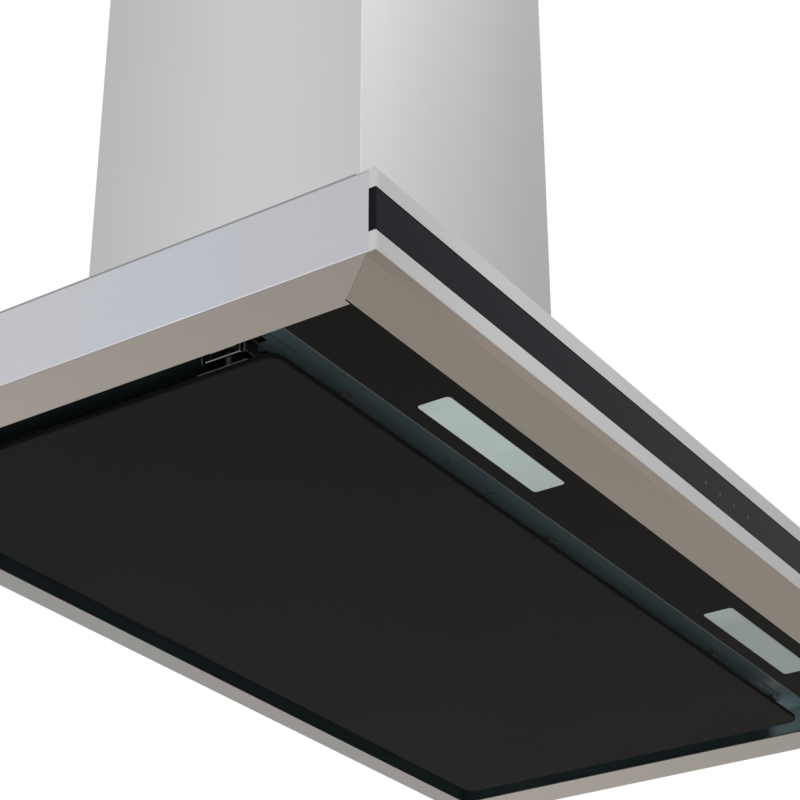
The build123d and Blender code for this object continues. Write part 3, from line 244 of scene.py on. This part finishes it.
def painted_light_at_edges(surface, tone, edges):
    """A tone changed past folds and edges to the colours of painted light and shade."""
    for axis, start, end, color in edges:
        mask = surface.spread(surface.along(axis), 0, 1, start, end)
        tone = surface.blend(mask, tone, color)
    return tone


def graded(surface, tone, slopes):
    """A tone with broad slopes of light."""
    for axis, start, end, low, high in slopes:
        level = surface.spread(surface.along(axis), low, high, start, end)
        grey = surface.blend(level, (0, 0, 0, 1), (1, 1, 1, 1))
        tone = surface.blend(1.0, tone, grey, "MULTIPLY")
    return tone


def brushed(name, color, axis, gloss=0.3, sway=(4.0, 4.0, 4.0), edges=(), slopes=()):
    """Brushed stainless steel, with its grain along one axis and soft broad bands of tint."""
    surface = Surface(name, Metallic=1.0)
    scale = tuple(grain_along if i == "XYZ".index(axis) else grain_across for i in range(3))
    lines = surface.noise(scale, detail=4.0, roughness=0.7)
    bands = surface.noise(sway, detail=1.5)
    smudges = surface.noise(9.0, detail=4.0)
    tone = surface.mottled(lines, color, 0.97, 1.025)
    tint = surface.blend(surface.spread(bands, 0, 1, 0.32, 0.68), warm_tint, cool_tint)
    tone = surface.blend(1.0, tone, tint, "MULTIPLY")
    tone = graded(surface, painted_light_at_edges(surface, tone, edges), slopes)
    rough = surface.math(
        "ADD",
        surface.spread(lines, gloss - 0.04, gloss + 0.04),
        surface.spread(smudges, -0.025, 0.03),
    )
    return surface.finish(tone, rough, lines, relief=0.06, depth=0.00006)


def powder_coat(name, color, gloss=0.6):
    """Matt powder coat with the fine peel of sprayed paint."""
    surface = Surface(name, Specular_IOR_Level=0.055)
    peel = surface.noise(2200.0, detail=2.0)
    clouds = surface.noise(9.0, detail=3.0)
    tone = surface.mottled(clouds, color, 0.9, 1.1)
    rough = surface.math(
        "ADD",
        surface.spread(peel, gloss - 0.06, gloss + 0.06),
        surface.spread(clouds, -0.04, 0.04),
    )
    return surface.finish(tone, rough, peel, relief=0.25, depth=0.00005)


def enamel(name, color, slopes=()):
    """Smooth glossy enamel with a faint waviness."""
    surface = Surface(name, Specular_IOR_Level=0.4)
    waves = surface.noise(60.0, detail=2.0)
    clouds = surface.noise(7.0)
    tone = surface.mottled(clouds, color, 0.85, 1.15)
    tone = graded(surface, tone, slopes)
    rough = surface.spread(waves, 0.16, 0.24)
    return surface.finish(tone, rough, waves, relief=0.05, depth=0.0003)


def polished_glass(name, color):
    """Back-painted black glass, polished, with the faintest smears."""
    surface = Surface(name, Specular_IOR_Level=0.045)
    smears = surface.noise((25.0, 25.0, 90.0), detail=4.0)
    tone = surface.mottled(smears, color, 0.92, 1.1)
    return surface.finish(tone, surface.spread(smears, 0.05, 0.11), smears, relief=0.01)


def frosted(name, color, slopes=()):
    """Frosted lens with fine prisms along its length."""
    surface = Surface(name, Specular_IOR_Level=0.35)
    prisms = surface.noise((60.0, 1400.0, 60.0), detail=2.0)
    clouds = surface.noise(30.0)
    tone = surface.mottled(clouds, color, 0.95, 1.05)
    tone = graded(surface, tone, slopes)
    return surface.finish(tone, surface.spread(prisms, 0.35, 0.5), prisms, relief=0.1)


def galvanised(name, color):
    """Zinc coated sheet with its spangle."""
    surface = Surface(name, Metallic=0.9)
    spangle = surface.add("ShaderNodeSeparateColor")
    surface.feed(spangle, Color=surface.cells(140.0, output="Color"))
    flake = spangle.outputs[0]
    dust = surface.noise(500.0)
    tone = surface.blend(surface.spread(flake, 0, 1, 0, 1), shade(color, 0.85), shade(color, 1.1))
    rough = surface.math(
        "ADD", surface.spread(flake, 0.36, 0.5, 0, 1), surface.spread(dust, -0.02, 0.02)
    )
    return surface.finish(tone, rough, dust, relief=0.06)


def plated(name, color, gloss=0.25):
    """Bright plated or anodised metal with drawing marks."""
    surface = Surface(name, Metallic=1.0)
    marks = surface.noise((300.0, 1500.0, 1500.0))
    tone = surface.mottled(marks, color, 0.9, 1.06)
    rough = surface.spread(marks, gloss - 0.08, gloss + 0.1)
    return surface.finish(tone, rough, marks, relief=0.08)


def moulded(name, color, gloss=0.5, shine=0.4):
    """Moulded plastic or rubber with a fine spark-eroded grain."""
    surface = Surface(name, Specular_IOR_Level=shine)
    grain = surface.noise(2600.0, detail=2.0)
    clouds = surface.noise(20.0)
    tone = surface.mottled(clouds, color, 0.9, 1.1)
    rough = surface.spread(grain, gloss - 0.07, gloss + 0.07)
    return surface.finish(tone, rough, grain, relief=0.2)


def circuit_board(name, color):
    """Solder mask over tracks and pads."""
    surface = Surface(name, Specular_IOR_Level=0.5)
    tracks = surface.cells(260.0, feature="DISTANCE_TO_EDGE")
    edge = surface.spread(tracks, 1, 0, 0.03, 0.07)
    tone = surface.blend(edge, (*color, 1.0), shade(color, 2.2))
    return surface.finish(tone, surface.spread(edge, 0.3, 0.42, 0, 1), edge, relief=0.2)


def laminated(name, color):
    """Painted steel laminations, stacked along the shaft."""
    surface = Surface(name, Specular_IOR_Level=0.4)
    sheets = surface.noise((1600.0, 4.0, 4.0), detail=1.0)
    tone = surface.mottled(sheets, color, 0.75, 1.3)
    return surface.finish(tone, surface.spread(sheets, 0.4, 0.55), sheets, relief=0.3)


# Finishes by material slot
finishes = {
    "stainless": brushed("stainless_along_x", steel, "X"),
    "black_glass": polished_glass("black_glass", (0.006, 0.008, 0.012)),
    "black_paint": powder_coat("black_powder_coat", (0.0165, 0.0170, 0.0175)),
    # The liner's colour is painted light on its visible front strip; its slopes darken it further
    # in as painted shade
    "liner_enamel": enamel("liner_enamel_painted_light", (0.27, 0.41, 0.455), liner_slopes),
    "lens": frosted("frosted_lens", (0.77, 0.96, 1.0), lens_slopes),
    "galvanised": galvanised("galvanised_sheet", (0.55, 0.56, 0.57)),
    "filter_aluminium": plated("filter_aluminium", (0.62, 0.62, 0.63), 0.38),
    "bright_steel": plated("bright_steel", (0.66, 0.65, 0.62)),
    "dark_plastic": moulded("dark_plastic", (0.024, 0.024, 0.026)),
    "grey_plastic": moulded("grey_plastic", (0.30, 0.31, 0.32)),
    "motor_steel": laminated("motor_laminations", (0.06, 0.06, 0.065)),
    "bush_rubber": moulded("bush_rubber", (0.018, 0.018, 0.018), 0.75, 0.2),
    "circuit_board": circuit_board("circuit_board", (0.012, 0.11, 0.045)),
    "capacitor_case": moulded("capacitor_case", (0.72, 0.72, 0.69), 0.35),
}

# Finishes of single nodes and pieces, where the slot's own isn't close enough
upright, broad = (7.0, 7.0, 0.5), (5.0, 5.0, 5.0)
side_finish = brushed(
    "stainless_side", side_steel, "Y", sway=upright, edges=side_edges, slopes=side_slopes
)
fascia_finish = brushed(
    "stainless_fascia", fascia_steel, "X", sway=upright, edges=fascia_edges, slopes=fascia_slopes
)
rail_finish = brushed("stainless_rail", rail_steel, "X", sway=broad)
top_finish = brushed("stainless_top", steel, "X", edges=top_edges)
dull_zinc = plated("dull_zinc", (0.10, 0.10, 0.10), 0.42)
zinc_flake = moulded("zinc_flake", (0.24, 0.25, 0.245), 0.5)
key_print = moulded("key_print", (0.06, 0.066, 0.068), 0.4)
# Painted highlight for the catches' bevels
painted_edge_highlight = plated("painted_edge_highlight", (0.50, 0.50, 0.49), 0.3)
light_panel_finish = powder_coat("black_light_panel", (0.0122, 0.0126, 0.0128))
# Painted highlight for the light panel's rear fold
painted_fold_highlight = powder_coat("powder_coat_painted_highlight", (0.11, 0.117, 0.12), 0.45)


def flue_finish(node):
    """Brushed stainless of one flue cover, with painted shade making its left side a little
    darker.
    """
    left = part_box(node)[0].x
    side_slope = ("X", left + 0.0003, left + 0.0010, 0.86, 1.0)
    return brushed(
        f"stainless_{node}", flue_steel, "Z", 0.32, sway=upright, slopes=[side_slope, *flue_slopes]
    )


special = {
    "canopy_top": top_finish,
    "side_panel_left": side_finish,
    "side_panel_right": side_finish,
    "lower_flue": flue_finish("lower_flue"),
    "upper_flue": flue_finish("upper_flue"),
    "fascia": fascia_finish,
    "front_rail": rail_finish,
    "light_panel": light_panel_finish,
    **{node: dull_zinc for node in cad if node.startswith("catch_")},
    **{node: zinc_flake for node in cad if node.startswith(("catch_strikes", "filter_latch"))},
}

slot_of = {row["node"]: row["material_slot"] for row in frame["record"]["subparts"]}
for node, piece in cad.items():
    finish = special.get(node, finishes[slot_of[node]])
    for place in piece.material_slots:
        place.material = finish


def dress(piece, body, slot, finish=None):
    """Gives a piece its finish and its body."""
    piece.data.materials.append(finish or finishes[slot])
    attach(piece, body)
    return piece


def soften(mesh):
    """Smooth faces, with the edges that turn sharply kept sharp."""
    for face in mesh.faces:
        face.smooth = True
    for edge in mesh.edges:
        edge.smooth = edge.calc_face_angle(0) < math.radians(38)


def piece_from(mesh, name):
    """An object made from a bmesh."""
    data = bpy.data.meshes.new(name)
    mesh.to_mesh(data)
    mesh.free()
    piece = bpy.data.objects.new(name, data)
    bpy.context.scene.collection.objects.link(piece)
    return piece


def eased(node, width, segments=2, painted_highlight_finish=None, painted_highlight_from=None):
    """A copy of a CAD node with eased edges, and a painted highlight on these edges or past one
    depth in Y.
    """
    mesh = bmesh.new()
    mesh.from_mesh(cad[node].data)
    bmesh.ops.remove_doubles(mesh, verts=mesh.verts, dist=1e-6)
    bmesh.ops.dissolve_limit(
        mesh, angle_limit=math.radians(0.5), verts=mesh.verts, edges=mesh.edges
    )
    sharp = [
        edge for edge in mesh.edges
        if len(edge.link_faces) == 2 and edge.calc_face_angle(0) > math.radians(40)
    ]
    bmesh.ops.bevel(
        mesh, geom=sharp, offset=width, segments=segments, profile=0.5, affect="EDGES",
        clamp_overlap=True, material=1 if painted_highlight_finish and painted_highlight_from is None else -1,
    )
    if painted_highlight_from is not None:
        whole = mesh.verts[:] + mesh.edges[:] + mesh.faces[:]
        bmesh.ops.bisect_plane(mesh, geom=whole, plane_co=(0, painted_highlight_from, 0), plane_no=(0, 1, 0))
        for face in mesh.faces:
            face.material_index = int(face.calc_center_median().y > painted_highlight_from)
    soften(mesh)
    piece = piece_from(mesh, f"{node}_eased")
    keep_flat = piece.modifiers.new("faces", "WEIGHTED_NORMAL")
    keep_flat.keep_sharp = True
    dress(piece, cad[node]["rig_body"], slot_of[node], special.get(node))
    if painted_highlight_finish:
        piece.data.materials.append(painted_highlight_finish)
    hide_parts(node)


fold_width = 0.0016
for node in ("fascia", "side_panel_left", "side_panel_right", "front_rail", "rear_panel"):
    eased(node, width=0.00022)
# The catches' bevels and the light panel's rear fold carry a painted highlight
eased("catch_bodies", width=0.0004, segments=1, painted_highlight_finish=painted_edge_highlight)
eased("catch_strikes", width=0.0002)
eased("light_panel", width=0.0002, painted_highlight_finish=painted_fold_highlight, painted_highlight_from=light_panel_rear - fold_width)
eased("perimeter_panel", width=0.0003)


def loop_of(mesh, place, outline, height):
    """A closed row of vertices at one height over a place."""
    return [mesh.verts.new(place @ Vector((x, y, height))) for x, y in outline]


def band(mesh, first, second):
    """Faces between two closed rows of as many vertices."""
    for i, (a, b) in enumerate(zip(first, second)):
        k = (i + 1) % len(first)
        mesh.faces.new((a, first[k], second[k], b))


def circle(radius, count=24):
    """Points round a circle."""
    turns = [2 * math.pi * i / count for i in range(count)]
    return [(radius * math.cos(turn), radius * math.sin(turn)) for turn in turns]


def seat(point, normal):
    """The place of a small part on a face, with its Z along the face's normal."""
    turn = Vector(normal).to_track_quat("Z", "Y").to_matrix().to_4x4()
    return Matrix.Translation(point) @ turn


# A pan head's rows as shares of its radius and height
head_rows = ((1.0, 0.0), (1.0, 0.25), (0.93, 0.6), (0.76, 0.86), (0.56, 0.97))

# A pan head's height and the measures of its cross recess as shares of its radius
head_height = 0.62
recess_arm, recess_half, recess_taper, recess_depth = 0.42, 0.11, 0.6, 0.4
recess_corner = ((recess_arm, recess_half), (recess_half, recess_half), (recess_half, recess_arm))
recess = [
    (x * side_x, y * side_y)
    for side_x, side_y, order in ((1, 1, 1), (-1, 1, -1), (-1, -1, 1), (1, -1, -1))
    for x, y in recess_corner[::order]
]


def screws(name, body, places, radius, finish=None):
    """Pan head screws with cross recesses, seated on faces at the given points and normals."""
    mesh = bmesh.new()
    tall = head_height * radius
    for point, normal in places:
        place = seat(point, normal)
        rows = [loop_of(mesh, place, circle(radius * r), tall * h) for r, h in head_rows]
        for lower, upper in zip(rows, rows[1:]):
            band(mesh, lower, upper)
        rim = loop_of(mesh, place, [(x * radius, y * radius) for x, y in recess], tall)
        pit_size = radius * recess_taper
        pit = [(x * pit_size, y * pit_size) for x, y in recess]
        pit = loop_of(mesh, place, pit, tall - recess_depth * radius)
        band(mesh, rim, pit)
        mesh.faces.new(pit)
        mesh.faces.new(rows[0][::-1])
        edges = [
            mesh.edges.get((row[i - 1], row[i]))
            for row in (rows[-1], rim)
            for i in range(len(row))
        ]
        bmesh.ops.triangle_fill(mesh, use_beauty=True, edges=edges)
    bmesh.ops.recalc_face_normals(mesh, faces=mesh.faces)
    soften(mesh)
    dress(piece_from(mesh, name), body, "bright_steel", finish)


def spring(name, start, end, radius, wire, turns):
    """A coil of round wire wound between two points along Y."""
    mesh = bmesh.new()
    steps = round(turns * steps_per_turn)
    rings = []
    for i in range(steps + 1):
        turn = 2 * math.pi * turns * i / steps
        out = Vector((math.cos(turn), 0, math.sin(turn)))
        centre = start.lerp(end, i / steps) + out * radius
        rings.append([
            mesh.verts.new(centre + out * x + Vector((0, y, 0)))
            for x, y in circle(wire, wire_sides)
        ])
    for first, second in zip(rings, rings[1:]):
        band(mesh, first, second)
    mesh.faces.new(rings[0])
    mesh.faces.new(rings[-1])
    bmesh.ops.recalc_face_normals(mesh, faces=mesh.faces)
    soften(mesh)
    return dress(piece_from(mesh, name), "canopy", "bright_steel")


upwards, downwards = (0, 0, 1), (0, 0, -1)

# Radii of the screws' heads
strike_head, catch_head, small_head, large_head = 0.0028, 0.0024, 0.0022, 0.003

# Places in the catches, measured from their boxes
catch_low, catch_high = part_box("catch_bodies")
slider_low, slider_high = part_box("catch_slider_left_front")
strike_low, strike_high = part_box("catch_strikes")
catch_steel, catch_screw_y = 0.0012, 0.0215
catch_ceiling = catch_high.z - catch_steel
catch_x = (slider_high.x + slider_low.x) / 2
catch_y = (catch_low.y + catch_high.y) / 2
roller_z = (slider_low.z + slider_high.z) / 2
strike_steel, strike_screw_x, strike_screw_y = 0.001, 0.3809, 0.0155
strike_top = strike_low.z + strike_steel
sides = (catch_x, -catch_x)

screws(
    "strike_screws", "perimeter_panel",
    [
        (Vector((math.copysign(strike_screw_x, x), catch_y + y, strike_top)), upwards)
        for x in sides
        for y in (-strike_screw_y, strike_screw_y)
    ],
    strike_head, zinc_flake,
)


def strike_lips(reach=0.0013, ease=0.0002):
    """A thin lip on the outer edge of both strikes."""
    mesh = bmesh.new()
    front, rear = strike_low.y, strike_high.y
    for x in sides:
        outer = math.copysign(strike_high.x + reach, x)
        inner = math.copysign(strike_high.x, x)
        corners = [
            mesh.verts.new((a, b, height))
            for height in (strike_low.z, strike_top)
            for a, b in ((outer, front), (outer, rear), (inner, rear), (inner, front))
        ]
        band(mesh, corners[:4], corners[4:])
        mesh.faces.new(corners[:4])
        mesh.faces.new(corners[4:])
    edges = mesh.edges[:]
    bmesh.ops.bevel(mesh, geom=edges, offset=ease, segments=2, profile=0.5, affect="EDGES")
    bmesh.ops.recalc_face_normals(mesh, faces=mesh.faces)
    dress(piece_from(mesh, "strike_lips"), "perimeter_panel", "bright_steel", zinc_flake)


strike_lips()
screws(
    "catch_screws", "canopy",
    [
        (Vector((x, catch_y + y, catch_ceiling)), downwards)
        for x in sides
        for y in (-catch_screw_y, catch_screw_y)
    ],
    catch_head, dull_zinc,
)

# Springs behind the catches' rollers, from the wall of the catch to the slider at rest
spring_wall, spring_rest = 0.0163, 0.0103
spring_size = {"radius": 0.0021, "wire": 0.00025, "turns": 4.5}
steps_per_turn, wire_sides = 16, 8
for side, x in (("left", catch_x), ("right", -catch_x)):
    for end, sign in (("front", -1), ("rear", 1)):
        wall = Vector((x, catch_y + sign * spring_wall, roller_z))
        rest = Vector((x, catch_y + sign * spring_rest, roller_z))
        coil = spring(f"catch_spring_{side}_{end}", wall, rest, **spring_size)
        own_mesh(coil)

# Screws of the hinges
bracket_low, bracket_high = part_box("hinge_brackets")
bracket_steel = 0.0015
hinge_half, hinge_screw_x, hinge_screw_y = 0.012, 0.006, 0.005
hinge_x = bracket_high.x - hinge_half
hinge_ceiling = bracket_high.z - bracket_steel
screws(
    "hinge_screws", "canopy",
    [
        (Vector((x + dx, bracket_low.y + hinge_screw_y, hinge_ceiling)), downwards)
        for x in (-hinge_x, hinge_x)
        for dx in (-hinge_screw_x, hinge_screw_x)
    ],
    small_head,
)


def corner_places(node, inset, height):
    """Places that face up at the four corners of a node."""
    low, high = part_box(node)
    return [
        (Vector((x, y, height)), upwards)
        for x in (low.x + inset, high.x - inset)
        for y in (low.y + inset, high.y - inset)
    ]


# Screws of the outlet collar, the control box's lid and the upper flue
collar_sheet, collar_inset, lid_inset = 0.002, 0.007, 0.005
collar_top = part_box("outlet_collar")[0].z + collar_sheet
lid_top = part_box("control_box_lid")[1].z
screws(
    "collar_screws", "canopy", corner_places("outlet_collar", collar_inset, collar_top), large_head
)
screws("lid_screws", "canopy", corner_places("control_box_lid", lid_inset, lid_top), small_head)
flue_low, flue_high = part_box("upper_flue")
flue_screw_y, flue_screw_drop = -0.035, 0.010
screws(
    "upper_flue_screws", "upper_flue",
    [
        (Vector((x, flue_screw_y, flue_high.z - flue_screw_drop)), (math.copysign(1, x), 0, 0))
        for x in (flue_low.x, flue_high.x)
    ],
    large_head,
)

# Expanded metal screens under the filters' pleats: wavy strands that meet at the diamonds' ends
filter_rail = 0.014
diamond_half = (0.007, 0.004)
strand_width, strand_steel = 0.0009, 0.0005
latch_room, screen_gap = 0.0018, 0.0002


def screen(number):
    """The screen in one filter's window."""
    low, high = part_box(f"filter_frame_{number}")
    left, front = low.x + filter_rail, low.y + filter_rail + latch_room
    right, rear = high.x - filter_rail, high.y - filter_rail
    columns = round((right - left) / diamond_half[0])
    rows = round((rear - front) / diamond_half[1])
    across = (right - left) / columns
    pitch = (rear - front) / rows
    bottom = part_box(f"filter_mesh_{number}")[0].z - screen_gap
    section = [
        (strand_width / 2, 0), (-strand_width / 2, 0),
        (-strand_width / 2, -strand_steel), (strand_width / 2, -strand_steel),
    ]
    mesh = bmesh.new()
    for row in range(rows):
        crossings = []
        for column in range(columns + 1):
            side = 1 if (row + column) % 2 else -1
            shift = side * (pitch - strand_width) / 2
            point = Vector((left + column * across, front + (row + 0.5) * pitch + shift, bottom))
            crossings.append([mesh.verts.new(point + Vector((0, y, z))) for y, z in section])
        for first, second in zip(crossings, crossings[1:]):
            band(mesh, first, second)
        mesh.faces.new(crossings[0])
        mesh.faces.new(crossings[-1])
    bmesh.ops.recalc_face_normals(mesh, faces=mesh.faces)
    dress(piece_from(mesh, f"filter_screen_{number}"), "canopy", "filter_aluminium")


for number in (1, 2, 3):
    screen(number)

# Marks of the four touch keys on the glass
key_places = (-0.029, -0.006, 0.017, 0.040)
key_height, key_outer, key_inner, key_film = -0.156, 0.0013, 0.0006, 0.00004


def touch_key_marks():
    """A thin printed ring for each key."""
    mesh = bmesh.new()
    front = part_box("glass_strip")[0].y
    for x in key_places:
        place = seat(Vector((x, front, key_height)), (0, -1, 0))
        rows = [
            loop_of(mesh, place, circle(radius), height)
            for radius, height in (
                (key_outer, 0), (key_outer, key_film), (key_inner, key_film), (key_inner, 0)
            )
        ]
        for first, second in zip(rows, rows[1:] + rows[:1]):
            band(mesh, first, second)
    bmesh.ops.recalc_face_normals(mesh, faces=mesh.faces)
    dress(piece_from(mesh, "touch_key_marks"), "canopy", "grey_plastic", key_print)


touch_key_marks()

# The room's light
world = bpy.data.worlds.new("studio")
bpy.context.scene.world = world
world.use_nodes = True
studio = world.node_tree
light_path = studio.nodes.new("ShaderNodeLightPath")
background = studio.nodes["Background"]
background.inputs["Color"].default_value = (1, 1, 1, 1)


def world_range(value, start, end, low, high):
    """A value in the world's tree stretched from start..end to low..high."""
    node = studio.nodes.new("ShaderNodeMapRange")
    for name, number in zip(("From Min", "From Max", "To Min", "To Max"), (start, end, low, high)):
        socket = node.inputs[name]
        if isinstance(number, bpy.types.NodeSocket):
            studio.links.new(number, socket)
        else:
            socket.default_value = number
    studio.links.new(value, node.inputs["Value"])
    return node.outputs["Result"]


# White where the room is seen. In mirrors dimmer towards the right, and bright again far right
direction = studio.nodes.new("ShaderNodeTexCoord").outputs["Generated"]
parts = studio.nodes.new("ShaderNodeSeparateXYZ")
studio.links.new(direction, parts.inputs[0])
falling = world_range(parts.outputs["X"], 0.55, 0.92, 0.94, 0.60)
mirrored_light = world_range(parts.outputs["X"], 0.93, 0.985, falling, 0.90)
indirect = world_range(light_path.outputs["Is Glossy Ray"], 0, 1, 0.75, mirrored_light)
direct = studio.nodes.new("ShaderNodeMath")
direct.operation = "MAXIMUM"
studio.links.new(light_path.outputs["Is Camera Ray"], direct.inputs[0])
studio.links.new(light_path.outputs["Is Transmission Ray"], direct.inputs[1])
strength = world_range(direct.outputs[0], 0, 1, indirect, 1.0)
studio.links.new(strength, background.inputs["Strength"])


# The floor's height and half width, its colours, and where in Y painted light makes it lighter
floor_height, floor_half = -1.7, 9.0
floor_grey, floor_pale = (0.595, 0.565, 0.535, 1), (0.625, 0.595, 0.565, 1)
floor_painted_light, floor_light = (0.74, 0.71, 0.67, 1), (1.1, 2.0)


def pale_floor():
    """Plain pale floor in a warm grey, with painted light making it lighter behind the hood."""
    surface = Surface("pale_floor", Roughness=0.9, Specular_IOR_Level=0.1)
    patches = surface.spread(surface.noise(2.0), 0, 1)
    tone = surface.blend(patches, floor_grey, floor_pale)
    behind = surface.spread(surface.along("Y"), 0, 1, *floor_light)
    return surface.finish(surface.blend(behind, tone, floor_painted_light))


bpy.ops.mesh.primitive_plane_add(size=2 * floor_half, location=(0, 0, floor_height))
floor = bpy.context.object
floor.name = "floor"
floor.data.materials.append(pale_floor())


def soft_box(name, place, target, size, radiance, color=(1, 1, 1)):
    """A square area light of a given radiance, turned towards a target."""
    data = bpy.data.lights.new(name, "AREA")
    data.size = size
    data.energy = radiance * math.pi * size * size
    data.color = color
    light = bpy.data.objects.new(name, data)
    light.location = place
    light.rotation_euler = (Vector(target) - Vector(place)).to_track_quat("-Z", "Y").to_euler()
    bpy.context.scene.collection.objects.link(light)


hood_middle, left_side = (0, -0.25, -0.1), (-0.45, -0.25, -0.18)
soft_box("key_left", (-2.3, -2.9, 2.9), hood_middle, 1.7, 1.3, (0.96, 0.98, 1.0))
soft_box("fill_front", (1.5, -2.4, 2.7), hood_middle, 1.2, 0.9)
soft_box("rim_low", (-3.1, 1.1, -0.15), left_side, 1.0, 1.6)

# The photograph's camera: place, directions, and focal length and frame in pixels
camera_place = Vector((-1.32651, -1.09899, -0.86734))
right = Vector((0.55440246, -0.83224648, -0.00192551))
down = Vector((0.40122121, 0.26929979, -0.87549938))
forward = Vector((0.72914982, 0.48460645, 0.48321541))
focal_pixels, frame_pixels = 2202.938, 800

camera = bpy.data.objects.new("camera", bpy.data.cameras.new("camera"))
bpy.context.scene.collection.objects.link(camera)
turn = Matrix((right, -down, -forward)).transposed().to_4x4()
camera.matrix_world = Matrix.Translation(camera_place) @ turn
camera.data.lens = focal_pixels / frame_pixels * camera.data.sensor_width
bpy.context.scene.camera = camera
bpy.context.scene.view_settings.view_transform = "Standard"
